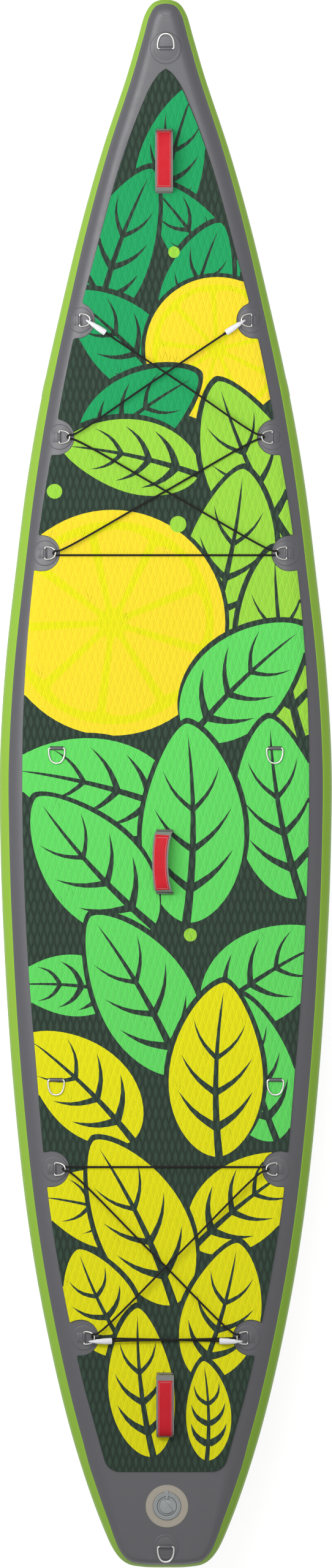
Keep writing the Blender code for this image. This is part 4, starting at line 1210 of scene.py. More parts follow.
def bungee_ring_places():
    """Patch frame and ring frame of each bungee ring, by its name."""
    places = {}
    for index, (x, y) in enumerate(BUNGEE_RINGS, start=1):
        for name, side in SIDES:
            point, normal = deck_surface(side * x, y)
            place = frame_at(point, Vector((-side, 0, 0)), normal)
            height = bar_over_patch(SMALL_RING)
            tilt = laced_tilt(place, height, deck_height(y) + BUNGEE_RING_LIFT)
            places[f"{name}_{index}"] = (place, tilted(place, height, tilt))
    return places


def wire_at(place, along):
    """Point on a small ring's loop, and the level way in from there."""
    half, corner = SMALL_RING["half"], SMALL_RING["corner"]
    depth = SMALL_RING["depth"] - corner
    across = place.to_3x3() @ Vector((0, 1, 0))
    sideways = along * math.copysign(1.0, across.y)
    reach = depth * math.sqrt(1 - (along / half) ** 2)
    point = place @ Vector((corner + reach, sideways, 0))
    inward = place.to_3x3() @ Vector((-reach / depth**2, -sideways / half**2, 0))
    inward.z = 0.0
    return point, inward.normalized()


def wrap(place, over_side, shift=0.0):
    """A cord's way round a ring's loop: in over it, down inside and out under it."""
    points = []
    for degrees in (90, 45, 0, -45, -90):
        turn = math.radians(degrees)
        centre, inward = wire_at(place, over_side * WRAP_SPREAD * degrees / 90 + shift)
        points.append(centre + WRAP_RADIUS * (inward * math.cos(turn) + Vector((0, 0, 1)) * math.sin(turn)))
    lead = Vector((math.copysign(WRAP_LEAD, place.translation.x), 0, 0))
    return [points[0] - lead, *points, points[-1] - lead]


def crossing(first, second, lift):
    """Middle of a strand, where it goes over or under another."""
    return (first + second) / 2 + Vector((0, 0, lift))


def passing(first, second, heights):
    """Points along a strand at these shares and heights."""
    points = [(first.lerp(second, share), height) for share, height in heights]
    return [Vector((point.x, point.y, height)) for point, height in points]


def hook_line(place, along, target):
    """Centre line of a hook in line with its cord, and the end of the cord in it."""
    wire, _ = wire_at(place, along)
    run = (target - wire).to_2d().normalized().to_3d()
    fall = (target.z - wire.z) / (target - wire).to_2d().length
    points = [wire + run * d + Vector((0, 0, h + fall * max(0.0, d))) for d, h, _ in HOOK_SHAPE]
    return points, points[0] + (points[0] - points[1]).normalized() * GAP * 4


def make_hook(name, points, node):
    """A white nylon hook: a flat-sided barrel that narrows into the open claw."""
    radii = [radius for _, _, radius in HOOK_SHAPE]
    ribs_start, ribs_end, rib_width, rib_rise = HOOK_RIBS
    steps = 10
    path, widths = [], []
    for index in range(len(points) - 1):
        for step in range(steps):
            share = step / steps
            ease = share * share * (3 - 2 * share)
            path.append(on_curve(points, index + share))
            widths.append(radii[index] + (radii[index + 1] - radii[index]) * ease)
    path.append(points[-1])
    widths.append(radii[-1] * 0.55)
    widths[0] *= 0.93
    widths[1] *= 0.98
    widths[-2] *= 0.88
    travelled = lengths_along(path)

    def section(length):
        index = min(bisect.bisect_left(travelled, length - 1e-9), len(widths) - 1)
        radius = widths[index]
        flat = 0.95 - 0.27 * min(1.0, max(0.0, (radius - 0.003) / 0.003))
        ribbed = ribs_start < length < ribs_end and int(length / rib_width) % 2
        rib = 1.0 + (rib_rise if ribbed else 0.0)
        return [(x * rib, y * flat * rib) for x, y in round_section(radius, 24)]

    bm = bmesh.new()
    sweep(bm, path, section)
    make_piece(name, bm, ["hook_nylon"], "board", [node], smooth=40.0)


def braid_section(radius, pitch, strands=4, sides=16):
    """Cross-section of a braided sleeve, with its two families of strands standing out in turn."""

    def section(travelled):
        ring = []
        phase = 2 * math.pi * travelled / pitch
        for turn in full_turn(sides):
            weave = max(math.cos(strands * turn + phase), math.cos(strands * turn - phase))
            reach = radius * (0.95 + 0.07 * weave)
            ring.append((reach * math.cos(turn), reach * math.sin(turn)))
        return ring

    return section


def add_collar(bm, end, direction):
    """The bound end of a cord where it comes out of its hook."""
    start = end - direction * COLLAR_START
    path = [start + direction * COLLAR_LENGTH * step / 8 for step in range(9)]

    def section(travelled):
        share = travelled / COLLAR_LENGTH
        return round_section(COLLAR_RADIUS - (COLLAR_RADIUS - BUNGEE / 2) * share * share, 16)

    sweep(bm, path, section)


def make_cord(name, route, node):
    """A stretched bungee along its whole route, braided, with its two bound ends."""
    pitch = bpy.context.scene.paddle_board_sizes.braid_pitch
    path = evenly(smooth_points(route, 0.003), 0.0015)
    bm = bmesh.new()
    sweep(bm, path, braid_section(BUNGEE / 2, pitch))
    for end, near in ((route[0], route[1]), (route[-1], route[-2])):
        add_collar(bm, end, (near - end).normalized())
    make_piece(name, bm, ["bungee_braid"], "board", [node], smooth=60.0)


def handle_frame(x, y):
    """Frame on the deck at a handle's middle: X across the board, Y forward, Z out of the deck."""
    slope = Vector((0, 1, rocker_slope(y))).normalized()
    normal = Vector((1, 0, 0)).cross(slope)
    return frame_at(Vector((x, y, deck_height(y))), Vector((1, 0, 0)), normal)


def handle_line(pivot, lean, bow, half_length, shift=0.0, lowest=0.0, steps=72):
    """Places along a handle's arch as (point, across, outward). A bowed handle leans most in its middle."""
    foot = HANDLE_HALF - WEBBING - HANDLE_FOOT_IN
    turned = pivot.to_3x3()
    points, across = [], []
    for step in range(steps + 1):
        turn = math.pi * step / steps
        y = -foot * math.copysign(abs(math.cos(turn)) ** HANDLE_FULLNESS, math.cos(turn))
        rise = HANDLE_RISE * math.sin(turn) ** HANDLE_FULLNESS
        if abs(y - shift) > half_length or rise < lowest:
            continue
        over = math.radians(lean + bow * (1 - (y / foot) ** 2))
        points.append(pivot @ Vector((-rise * math.sin(over), y, rise * math.cos(over))))
        across.append(turned @ Vector((math.cos(over), 0.0, math.sin(over))))
    line = []
    for index, point in enumerate(points):
        run = points[min(index + 1, len(points) - 1)] - points[max(index - 1, 0)]
        line.append((point, across[index], across[index].cross(run).normalized()))
    return line


def stepped(line, step):
    """The places along a handle's arch again, this far apart."""
    lengths = lengths_along([point for point, _, _ in line])
    found = []
    for count in range(int(lengths[-1] / step) + 1):
        after = min(max(1, bisect.bisect_left(lengths, count * step)), len(line) - 1)
        share = (count * step - lengths[after - 1]) / (lengths[after] - lengths[after - 1])
        found.append(tuple(first.lerp(second, share) for first, second in zip(line[after - 1], line[after])))
    return found


def strip_section(width, thickness, rise, ribs=0, depth=0.0):
    """Rounded cross-section of a strip whose underside is at this rise, ribbed on top and below."""
    half = width / 2
    edge = thickness / 2
    count = max(8, ribs * 4)
    top = []
    for step in range(count + 1):
        share = step / count
        wave = depth * (0.5 - 0.5 * math.cos(2 * math.pi * ribs * share)) if ribs else 0.0
        top.append(((share * 2 - 1) * (half - edge), edge - wave))
    right = [(half - edge + edge * math.sin(t), edge * math.cos(t)) for t in (0.7, math.pi / 2, 2.44)]
    low = [(x, -y) for x, y in reversed(top)]
    left = [(-x, -y) for x, y in right]
    return [(x, y + rise + edge) for x, y in top + right + low + left]


def add_base_sheet(bm, x, y):
    """The sheet under the pad that carries a handle."""
    width, length = HANDLE_PATCH
    across = [x + width * (step / 4 - 0.5) for step in range(5)]
    rows = []
    for step in range(13):
        along = y + length * (step / 12 - 0.5)
        row = [on_deck(place, along, GAP + PATCH * 0.9) for place in across]
        rows.append(row + [on_deck(place, along, GAP) for place in reversed(across)])
    loft(bm, rows, caps=True)


def add_stub(bm, place, end):
    """One upright end of a handle, up through its slot in the pad, with two rows of stitches."""
    outer = end * HANDLE_HALF
    inner = end * (HANDLE_HALF - WEBBING)
    low = (-STUB_WIDTH / 2, min(outer, inner), GAP + PATCH / 2)
    high = (STUB_WIDTH / 2, max(outer, inner), GAP + PAD + HANDLE_PIVOT + STUB_OVERLAP)
    rounded_box(bm, low, high, place, 0.0006, 2)
    for rise in STUB_STITCH_ROWS:
        for step in range(STUB_STITCHES):
            across = (step - (STUB_STITCHES - 1) / 2) * STUB_STITCH_PITCH
            xs = (across - STUB_STITCH / 2, across + STUB_STITCH / 2)
            points = [place @ Vector((x, outer + end * 0.0002, rise)) for x in xs]
            add_stitch(bm, *points, STUB_THREAD)


def strip_mesh(line, section):
    """A strip of this cross-section along places of a handle's arch."""
    bm = bmesh.new()
    sweep(bm, [point for point, _, _ in line], lambda _: section, up=[out for _, _, out in line])
    return bm


def make_handle(name, x, y, lean, bow, shift):
    """A webbing handle: two stubs from under the pad, the arch, and the sewn red panel."""
    place = handle_frame(x, y)
    body = f"{name}_handle"
    feet = bmesh.new()
    add_base_sheet(feet, x, y)
    for end in (-1, 1):
        add_stub(feet, place, end)
    make_piece(f"{body}_feet", feet, ["handle_webbing"], "board", [f"{body}_strap"])

    pivot = place @ Matrix.Translation((0, 0, GAP + PAD + HANDLE_PIVOT))
    arch = handle_line(pivot, lean, bow, HANDLE_HALF)
    webbing = strip_mesh(arch, strip_section(WEBBING_WIDTH, WEBBING, 0.0, *WEBBING_RIBS))
    make_piece(f"{body}_webbing", webbing, ["handle_webbing"], body)

    line = handle_line(pivot, lean, bow, PANEL_HALF, shift, PANEL_LOWEST)
    panel = strip_mesh(line, strip_section(PANEL_WIDTH, PANEL_THICKNESS, WEBBING - 0.0001))
    make_piece(f"{body}_panel", panel, ["handle_panel"], body, [f"{body}_grip"], smooth=45.0)
    seam = bmesh.new()
    add_panel_seam(seam, line)
    make_piece(f"{body}_seam", seam, ["handle_thread"], body)


def add_panel_seam(bm, panel):
    """Stitches round the red panel, just inside its edge."""
    stitch = bpy.context.scene.paddle_board_sizes.stitch
    line = stepped(panel, stitch)[1:-1]
    rise = WEBBING + PANEL_THICKNESS - 0.0001
    edge = PANEL_WIDTH / 2 - PANEL_SEAM_IN
    count = int((PANEL_WIDTH - 0.006) / stitch)
    ends = []
    for side in (-edge, edge):
        for (first, across, out), (second, _, _) in zip(line, line[1:]):
            ends.append((first + across * side, second + across * side, out))
    for point, across, out in (line[0], line[-1]):
        for step in range(count):
            middle = point + across * (step - (count - 1) / 2) * stitch
            ends.append((middle - across * stitch / 2, middle + across * stitch / 2, out))
    for first, second, out in ends:
        points = [first.lerp(second, share) + out * rise for share in (0.12, 0.88)]
        add_stitch(bm, *points, PANEL_THREAD, out, 0.0002)


def label_profile():
    """Section of the beige ring: a thin sheet with a pressed groove near each edge."""
    low, high = GAP, GAP + LABEL_THICKNESS
    inner, outer = VALVE_COLLAR + 0.0005, LABEL_RING
    profile = [(inner, low), (inner, high - 0.0002), (inner + 0.0002, high)]
    for share in LABEL_GROOVES:
        groove = inner + (outer - inner) * share
        profile += [(groove - 0.0004, high), (groove, high - 0.0003), (groove + 0.0004, high)]
    profile += [(outer - 0.0008, high), (outer - 0.0002, high - 0.0004)]
    return profile + [(outer, low + 0.0002), (outer, low)]


def housing_profile():
    """Section of the valve's body: rounded lip, grooved collar, threaded barrel, recess and seat."""
    top = VALVE_COLLAR_TOP
    half = THREAD_PITCH / 3
    skirt, floor = (VALVE_SEAT - depth for depth in RECESS_DEPTHS)
    profile = [(VALVE_THROAT, top - 0.0012)]
    profile += arc_profile((VALVE_THROAT + VALVE_LIP, top - VALVE_LIP), VALVE_LIP, 180, 90, 4)
    profile += [(radius, top - depth) for radius, depth in COLLAR_GROOVE]
    rounding = (VALVE_COLLAR - 0.0022, top - COLLAR_ROUNDING)
    profile += arc_profile(rounding, COLLAR_ROUNDING, 90, 10, 5)
    profile += [(VALVE_COLLAR, GAP + 0.0008), (VALVE_COLLAR, GAP), (VALVE_BARREL, GAP)]
    for turn in range(THREAD_TURNS):
        thread = THREAD_TOP - turn * THREAD_PITCH
        profile += [(VALVE_BARREL, thread + half), (VALVE_BARREL - THREAD_DEPTH, thread)]
        profile.append((VALVE_BARREL, thread - half))
    profile += [(VALVE_BARREL, skirt), (RECESS_RADIUS, skirt), (RECESS_RADIUS, floor)]
    profile += [(PIN_RADIUS + PIN_PLAY, floor), (PIN_RADIUS + PIN_PLAY, VALVE_SEAT)]
    return profile + [(VALVE_THROAT - 0.001, VALVE_SEAT), (VALVE_THROAT, VALVE_SEAT + 0.001)]


def make_housing(place):
    """The valve's body with its air holes and the lug that the cap's tether hangs on."""
    bm = bmesh.new()
    lathe(bm, housing_profile(), 96, place)
    holes = bmesh.new()
    for step in range(AIR_HOLES):
        turn = math.radians(360 * (step + 0.5) / AIR_HOLES)
        x, y = AIR_HOLE_RING * math.cos(turn), AIR_HOLE_RING * math.sin(turn)
        middle = place @ Matrix.Translation((x, y, VALVE_SEAT - 0.001))
        add_rod(holes, (AIR_HOLE_RADIUS, AIR_HOLE_RADIUS), 0.010, middle, 28)
    bm = combined(bm, holes, "DIFFERENCE")
    half, inwards, outwards, top = TETHER_LUG
    lug = bmesh.new()
    low = (-half, VALVE_COLLAR - inwards, 2 * GAP + LABEL_THICKNESS)
    rounded_box(lug, low, (half, VALVE_COLLAR + outwards, top), place, 0.0008)
    bm = combined(bm, lug, "UNION")
    make_piece("valve_housing", bm, ["valve_plastic"], "board", ["valve_body"], smooth=30.0)


def make_valve():
    """The valve: beige ring, housing, nut, pin with its spring, and cap."""
    place = Matrix.Translation((*VALVE, THICKNESS))
    ring = bmesh.new()
    lathe(ring, label_profile(), 120, place)
    make_piece(
        "valve_beige_ring", ring, ["label_sheet"], "board", ["valve_label_ring"], smooth=25.0
    )
    make_housing(place)
    dress_node("valve_nut", "valve_plastic")
    dress_node("valve_pin", "valve_plastic")
    make_spring(place)
    make_cap(place)


def make_spring(place):
    """The pin's return spring, built at its resting length; the real one shortens as the pin is pushed in."""
    low, high = SPRING_ENDS
    count = SPRING_TURNS * 24
    wire = round_section(SPRING_WIRE, 10)
    path = []
    for step in range(count + 1):
        turn = 2 * math.pi * step / 24
        height = low + (high - low) * step / count
        path.append(place @ Vector((SPRING_RADIUS * math.cos(turn), SPRING_RADIUS * math.sin(turn), height)))
    bm = bmesh.new()
    sweep(bm, path, lambda _: wire)
    coil = make_piece("valve_coil", bm, ["ring_steel"], "board", ["valve_spring"], smooth=60.0)
    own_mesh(coil)


def cap_profile():
    """Section of the cap: flat below, a grooved rim, a dished face and a low boss in its middle."""
    rim = [(CAP_RADIUS - inwards, height) for inwards, height in CAP_RIM]
    rim += arc_profile((CAP_RADIUS - CAP_ROUNDING, 0.0006), CAP_ROUNDING, 0, 90, 5)
    face = [(CAP_RADIUS - inwards, height) for inwards, height in CAP_FACE]
    return [(0.0, CAP_UNDERSIDE), *rim, *face, *CAP_BOSS, (0.0, CAP_BOSS[-1][1])]


def grip_outline():
    """The cap's grip in plan: a disc with one straight edge."""
    half = math.acos(GRIP_EDGE / GRIP_RADIUS)
    start = math.radians(GRIP_TURN) + half
    turns = [start + (2 * math.pi - 2 * half) * step / 40 for step in range(41)]
    return [(GRIP_RADIUS * math.cos(turn), GRIP_RADIUS * math.sin(turn)) for turn in turns]


def make_cap(place):
    """The push-in cap with its rim, dished face, D-shaped grip and tether."""
    bm = bmesh.new()
    lathe(bm, cap_profile(), 96, place)
    blade = bmesh.new()
    absorb(blade, plate("cap_grip", [grip_outline()], 0.0002, GRIP_TOP, place, 0.0012))
    bm = combined(bm, blade, "UNION")
    reach, height = CAP_HINGE
    rise = height - 0.0004
    tether = bmesh.new()
    start, end = TETHER_POST_Y, reach + TETHER_END
    line = [Vector((0, start + (end - start) * step / 24, rise)) for step in range(25)]
    section = strip_section(TETHER_WIDTH, TETHER_THICKNESS, -0.0006)
    sweep(tether, [place @ point for point in line], lambda _: section, up=(0, 0, 1))
    middle = place @ Matrix.Translation((0, TETHER_POST_Y, 0.0008 + (height - 0.0008) / 2))
    add_rod(tether, TETHER_POST, rise, middle, 20)
    make_piece("valve_cap_tether", tether, ["valve_plastic"], "valve_cap")
    make_piece(
        "valve_cap_lid", bm, ["valve_plastic"], "valve_cap", ["valve_cap"], smooth=30.0
    )


def combined(bm, other, operation):
    """The Boolean of two meshes under construction, as a new one."""
    pair = []
    for source in (bm, other):
        bmesh.ops.recalc_face_normals(source, faces=source.faces)
        mesh = bpy.data.meshes.new("working")
        source.to_mesh(mesh)
        source.free()
        pair.append(add_object("working", mesh))
    modifier = pair[0].modifiers.new("join", "BOOLEAN")
    modifier.operation = operation
    modifier.object = pair[1]
    mesh = mesh_made_by(pair[0])
    made = bmesh.new()
    made.from_mesh(mesh)
    for obj in pair:
        data = obj.data
        bpy.data.objects.remove(obj, do_unlink=True)
        bpy.data.meshes.remove(data)
    bpy.data.meshes.remove(mesh)
    return made


def make_fin():
    """The centre fin as a smooth foil with its base tab, and the fittings that hold it."""
    bm = bmesh.new()
    loops = []
    last = len(FIN_SECTIONS) - 1
    steps = 6
    for index in range(last * steps + 1):
        depth, lead, trail, thickness = on_table(FIN_SECTIONS, index / steps)
        loop = []
        for turn in full_turn(48):
            share = (1 - math.cos(turn)) / 2
            across = thickness / 2 * math.sin(turn) * (1.25 - 0.5 * share)
            loop.append(Vector((across, lead + (trail - lead) * share, -FIN_BOX_DEPTH - FIN_GAP - depth)))
        loops.append(loop)
    loft(bm, loops, caps=True)
    half = FIN_TAB / 2
    for low, high in FIN_HOLDS:
        block = bmesh.new()
        rounded_box(block, (-half, *low), (half, *high), Matrix(), FIN_ROUNDING)
        bm = combined(bm, block, "UNION")
    hole = bmesh.new()
    middle = Matrix.Translation((0, FIN_SCREW_Y, -FIN_BOX_DEPTH))
    add_rod(hole, (FIN_SCREW_HOLE, FIN_SCREW_HOLE), 0.05, middle, 24)
    bm = combined(bm, hole, "DIFFERENCE")
    make_piece("fin_blade", bm, ["fin_nylon"], "fin", ["fin"], smooth=30.0)
    for node, finish in (("fin_box", "fin_nylon"), ("fin_plate", "ring_steel"), ("fin_screw", "ring_steel")):
        dress_node(node, finish)


def on_table(rows, position):
    """A row of numbers read from the smooth curve through the rows."""
    index = min(int(position), len(rows) - 2)
    share = position - index
    a, b = rows[index], rows[index + 1]
    before = rows[index - 1] if index else [2 * p - q for p, q in zip(a, b)]
    after = rows[index + 2] if index + 2 < len(rows) else [2 * q - p for p, q in zip(a, b)]
    found = []
    for p, q, r, s in zip(before, a, b, after):
        slope = (2 * q, r - p, 2 * p - 5 * q + 4 * r - s, 3 * q - p - 3 * r + s)
        found.append(sum(part * share**power for power, part in enumerate(slope)) / 2)
    return found


def leaf_outline(base, degrees, length, width, bend):
    """Outline of a broad leaf on a bent midline, and a function that gives places on it."""
    turn = math.radians(degrees)
    ahead = heading(turn)
    side = left_of(ahead)

    def spot(share, across):
        """Place at a share of the length, this far across as a share of half the width there."""
        half = width / 2 * max(0.0, math.sin(math.pi * min(1.0, share) ** 0.84)) ** 0.62
        curve = bend * length * share * share
        lean = (ahead + side * 2 * bend * share).normalized()
        return base + ahead * length * share + side * curve + left_of(lean) * half * across

    shares = [(1 - math.cos(math.pi * step / 26)) / 2 for step in range(27)]
    right = [spot(share, 1.0) for share in shares]
    left = [spot(share, -1.0) for share in reversed(shares[1:-1])]
    return right + left, spot


def wedge(start, end, width, bow=0.0, steps=5):
    """A vein that tapers from its start to a point."""
    run = end - start
    out = left_of(run).normalized()
    one, two = [], []
    for step in range(steps + 1):
        share = step / steps
        middle = start + run * share + out * bow * math.sin(math.pi * share)
        half = width / 2 * (1 - share) ** 0.8
        one.append(middle + out * half)
        two.append(middle - out * half)
    return one + list(reversed(two[:-1]))


def print_motifs():
    """The pad's print as (ink, outline) in drawing order."""
    motifs = []
    for number, (place, *rest) in enumerate(PRINT):
        if len(rest) == 1:
            motifs += slice_motif(Vector(place), rest[0], number)
            continue
        degrees, length, width, ink = rest
        bend = LEAF_BEND if number % 2 else -LEAF_BEND
        motifs += leaf_motif(Vector(place), degrees, length, width, bend, ink)
    for x, y, radius in SEEDS:
        motifs.append(("lime", disc(Vector((x, y)), radius, 24)))
    return motifs


def leaf_motif(base, degrees, length, width, bend, ink):
    """One leaf with a dark rim, midrib and pairs of side veins."""
    outline, spot = leaf_outline(base, degrees, length, width, bend)
    rim, _ = leaf_outline(base, degrees, length + LEAF_RIM[0], width + LEAF_RIM[1], bend)
    motifs = [("ground", rim), (ink, outline), ("ground", midrib(spot, length))]
    for step in range(VEIN_PAIRS):
        share = 0.17 + 0.20 * step
        for side in (-1, 1):
            end = spot(share + 0.21, side * 0.80)
            motifs.append(("ground", wedge(spot(share, 0.0), end, 0.021 * (1.15 - share), side * 0.010)))
    return motifs


def midrib(spot, length):
    """The vein along a leaf's middle."""
    one, two = [], []
    for step in range(9):
        share = step / 9 * 0.94
        half = 0.0085 * (1 - share) ** 0.8 * length / 0.4 + 0.0006
        here, ahead = spot(share, 0.0), spot(share + 0.02, 0.0)
        out = left_of((ahead - here).normalized())
        one.append(here + out * half)
        two.append(here - out * half)
    return one + [spot(0.95, 0.0)] + list(reversed(two))


def disc(centre, radius, sides):
    return [centre + radius * heading(turn) for turn in full_turn(sides)]


def slice_motif(centre, radius, number):
    """A round fruit slice: rim, rind, pith and wedges."""
    motifs = [("ground", disc(centre, radius + SLICE_RIM, 72)), ("yellow", disc(centre, radius, 72))]
    motifs.append(("lemon", disc(centre, radius * 0.90, 64)))
    half = math.pi / SLICE_WEDGES
    for index in range(SLICE_WEDGES):
        middle = 2 * math.pi * (index + 0.37 * number) / SLICE_WEDGES
        outline = []
        for step in range(-4, 5):
            turn = middle + (half - 0.05) * step / 4
            reach = radius * (0.83 - 0.04 * abs(step / 4) ** 3)
            outline.append(centre + reach * heading(turn))
        for share, offset in ((0.17, half - 0.15), (0.12, 0.0), (0.17, 0.15 - half)):
            outline.append(centre + radius * share * heading(middle + offset))
        motifs.append(("yellow", outline))
    return motifs


class Region:
    """An outline with a quick test of what lies inside it."""

    def __init__(self, points):
        self.points = [(point.x, point.y) for point in points]
        xs = [x for x, _ in self.points]
        ys = [y for _, y in self.points]
        self.box = (min(xs), max(xs), min(ys), max(ys))

    def holds(self, x, y):
        low_x, high_x, low_y, high_y = self.box
        if not (low_x <= x <= high_x and low_y <= y <= high_y):
            return False
        inside = False
        before_x, before_y = self.points[-1]
        for after_x, after_y in self.points:
            if (after_y > y) != (before_y > y):
                if x < (before_x - after_x) * (y - after_y) / (before_y - after_y) + after_x:
                    inside = not inside
            before_x, before_y = after_x, after_y
        return inside

    def edges(self):
        return list(zip(self.points, self.points[1:] + self.points[:1]))


def pad_border():
    """The pad's outline with its notches at the bungee rings, their mouths rounded."""
    side = smooth_points(PAD_OUTLINE, 0.02, True)
    lean = math.radians(PAD_LEAN)
    level = PAD_TAIL + PAD_CORNER
    half = side[-1].x + math.tan(lean) * (level - side[-1].y)
    centre = Vector((half - PAD_CORNER / math.cos(lean), level))
    for step in range(11):
        turn = -lean - (math.pi / 2 - lean) * step / 10
        side.append(centre + PAD_CORNER * heading(turn))
    side.append(Vector((0.0, PAD_TAIL)))
    side = evenly(side, 0.004)
    for x, y in BUNGEE_RINGS:
        middle = Vector((x + NOTCH_OUT, y))
        inside = [index for index, point in enumerate(side) if (point - middle).length < NOTCH_RADIUS]
        first, last = inside[0], inside[-1]
        start = (side[first] - middle).angle_signed(Vector((-1, 0)))
        end = (side[last] - middle).angle_signed(Vector((-1, 0)))
        arc = []
        for step in range(25):
            turn = start + (end - start) * step / 24
            arc.append(middle - NOTCH_RADIUS * heading(turn))
        side[first : last + 1] = arc
    side = evenly(side, 0.003)
    for _ in range(3):
        inner = [(before + 2 * here + after) / 4 for before, here, after in zip(side, side[1:], side[2:])]
        side = [side[0], *inner, side[-1]]
    left = [Vector((-point.x, point.y)) for point in reversed(side[1:-1])]
    return side + left


def inset(points, amount):
    """The outline moved inwards."""
    area = sum(a.x * b.y - b.x * a.y for a, b in zip(points, points[1:] + points[:1]))
    way = math.copysign(1.0, area)
    found = []
    for before, here, after in zip(points[-1:] + points[:-1], points, points[1:] + points[:1]):
        run = (after - before).normalized()
        found.append(here + left_of(run) * way * amount)
    return found


def pad_openings():
    """Slots where the seat rings' tabs and the handles' ends come through the pad."""
    slots = []
    for x, y in SEAT_RINGS.values():
        for side in (-1, 1):
            half = WIDE_TAB + SLOT_PLAY
            slots.append(box_outline(side * x - half, side * x + half, y - TAB_SLOT_HALF, y + TAB_SLOT_HALF))
    for x, y, *_ in HANDLES.values():
        stretch = 1 / math.hypot(1, rocker_slope(y))
        for end in (-1, 1):
            middle = y + end * (HANDLE_HALF - WEBBING / 2) * stretch - 0.004 * rocker_slope(y)
            half = STUB_WIDTH / 2 + SLOT_PLAY
            slots.append(box_outline(x - half, x + half, middle - STUB_SLOT_HALF, middle + STUB_SLOT_HALF))
    return slots


def box_outline(left, right, low, high):
    return [Vector((left, low)), Vector((right, low)), Vector((right, high)), Vector((left, high))]


class PadSheet:
    """The grooved top of the pad, one diamond at a time, cut where the print or the border crosses it."""

    def __init__(self, sizes):
        self.width = sizes.diamond_width
        self.length = sizes.diamond_length
        self.depth = sizes.groove_depth
        self.spacing = self.width * self.length / math.hypot(self.width, self.length)
        self.share = sizes.groove_width / 2 / self.spacing
        self.border = Region(inset(pad_border(), sizes.pad_bevel))
        self.openings = [Region(slot) for slot in pad_openings()]
        self.motifs = [(INKS.index(ink), Region(points)) for ink, points in print_motifs()]
        self.cuts = {}
        self.find_cuts()
        self.bm = bmesh.new()
        self.made = {}

    def cell(self, x, y):
        return x / self.width + y / self.length, y / self.length - x / self.width

    def place(self, u, v):
        return (u - v) * self.width / 2, (u + v) * self.length / 2

    def find_cuts(self):
        """Notes for each diamond the visible edges of the print and the border that cross it."""
        edges = [(edge, -1) for region in [self.border, *self.openings] for edge in region.edges()]
        for order, (_, region) in enumerate(self.motifs):
            edges += [(edge, order) for edge in region.edges()]
        for ((ax, ay), (bx, by)), order in edges:
            spots = ((ax, ay), ((ax + bx) / 2, (ay + by) / 2), (bx, by))
            if order >= 0 and all(self.hidden(order, *spot) for spot in spots):
                continue
            length = math.hypot(bx - ax, by - ay)
            count = max(1, math.ceil(length / 0.0008))
            seen = set()
            for step in range(count + 1):
                x, y = ax + (bx - ax) * step / count, ay + (by - ay) * step / count
                u, v = self.cell(x, y)
                seen.add((math.floor(u), math.floor(v)))
            for key in seen:
                self.cuts.setdefault(key, []).append(((ax, ay), (bx, by)))

    def hidden(self, order, x, y):
        """Whether a later motif covers this place."""
        return any(region.holds(x, y) for _, region in self.motifs[order + 1 :])

    def ink_at(self, x, y):
        for ink, region in reversed(self.motifs):
            if region.holds(x, y):
                return ink
        return 0

    def covers(self, x, y):
        return self.border.holds(x, y) and not any(slot.holds(x, y) for slot in self.openings)

    def vert(self, x, y):
        key = (round(x * 2e5), round(y * 2e5))
        if key not in self.made:
            u, v = self.cell(x, y)
            near = min(abs(u - round(u)), abs(v - round(v)))
            sink = self.depth * max(0.0, 1 - near / self.share)
            self.made[key] = self.bm.verts.new(on_deck(x, y, GAP + PAD - sink))
        return self.made[key]

    def face(self, points, ink):
        verts = []
        for x, y in points:
            vert = self.vert(x, y)
            if vert not in verts:
                verts.append(vert)
        if len(verts) > 2 and not self.bm.faces.get(verts):
            face = self.bm.faces.new(verts)
            face.material_index = ink

    def fill_cell(self, i, j):
        s = self.share
        outer = [self.place(u, v) for u, v in ((i, j), (i + 1, j), (i + 1, j + 1), (i, j + 1))]
        near, far = (i + s, j + s), (i + 1 - s, j + 1 - s)
        inner = [self.place(u, v) for u, v in (near, (far[0], near[1]), far, (near[0], far[1]))]
        cuts = self.cuts.get((i, j))
        if not cuts:
            x, y = self.place(i + 0.5, j + 0.5)
            if not self.covers(x, y):
                return
            ink = self.ink_at(x, y)
            self.face(inner, ink)
            for k in range(4):
                after = (k + 1) % 4
                self.face([outer[k], outer[after], inner[after], inner[k]], ink)
            return
        points = [Vector(point) for point in outer + inner]
        edges = [(k, (k + 1) % 4) for k in range(4)] + [(4 + k, 4 + (k + 1) % 4) for k in range(4)]
        edges += [(k, k + 4) for k in range(4)]
        for first, second in cuts:
            edges.append((len(points), len(points) + 1))
            points += [Vector(first), Vector(second)]
        verts, _, faces, *_ = geometry.delaunay_2d_cdt(points, edges, [], 0, 1e-6)
        for triangle in faces:
            corners = [verts[index] for index in triangle]
            x, y = (sum(corner[axis] for corner in corners) / 3 for axis in (0, 1))
            u, v = self.cell(x, y)
            if math.floor(u) != i or math.floor(v) != j or not self.covers(x, y):
                continue
            self.face([(corner.x, corner.y) for corner in corners], self.ink_at(x, y))

    def build(self):
        low_x, high_x, low_y, high_y = self.border.box
        corners = [self.cell(x, y) for x in (low_x, high_x) for y in (low_y, high_y)]
        columns, rows = (range(math.floor(min(ends)), math.ceil(max(ends)) + 1) for ends in zip(*corners))
        for i in columns:
            for j in rows:
                x, y = self.place(i + 0.5, j + 0.5)
                if low_x - 0.01 < x < high_x + 0.01 and low_y - 0.02 < y < high_y + 0.02:
                    self.fill_cell(i, j)
        return self.bm


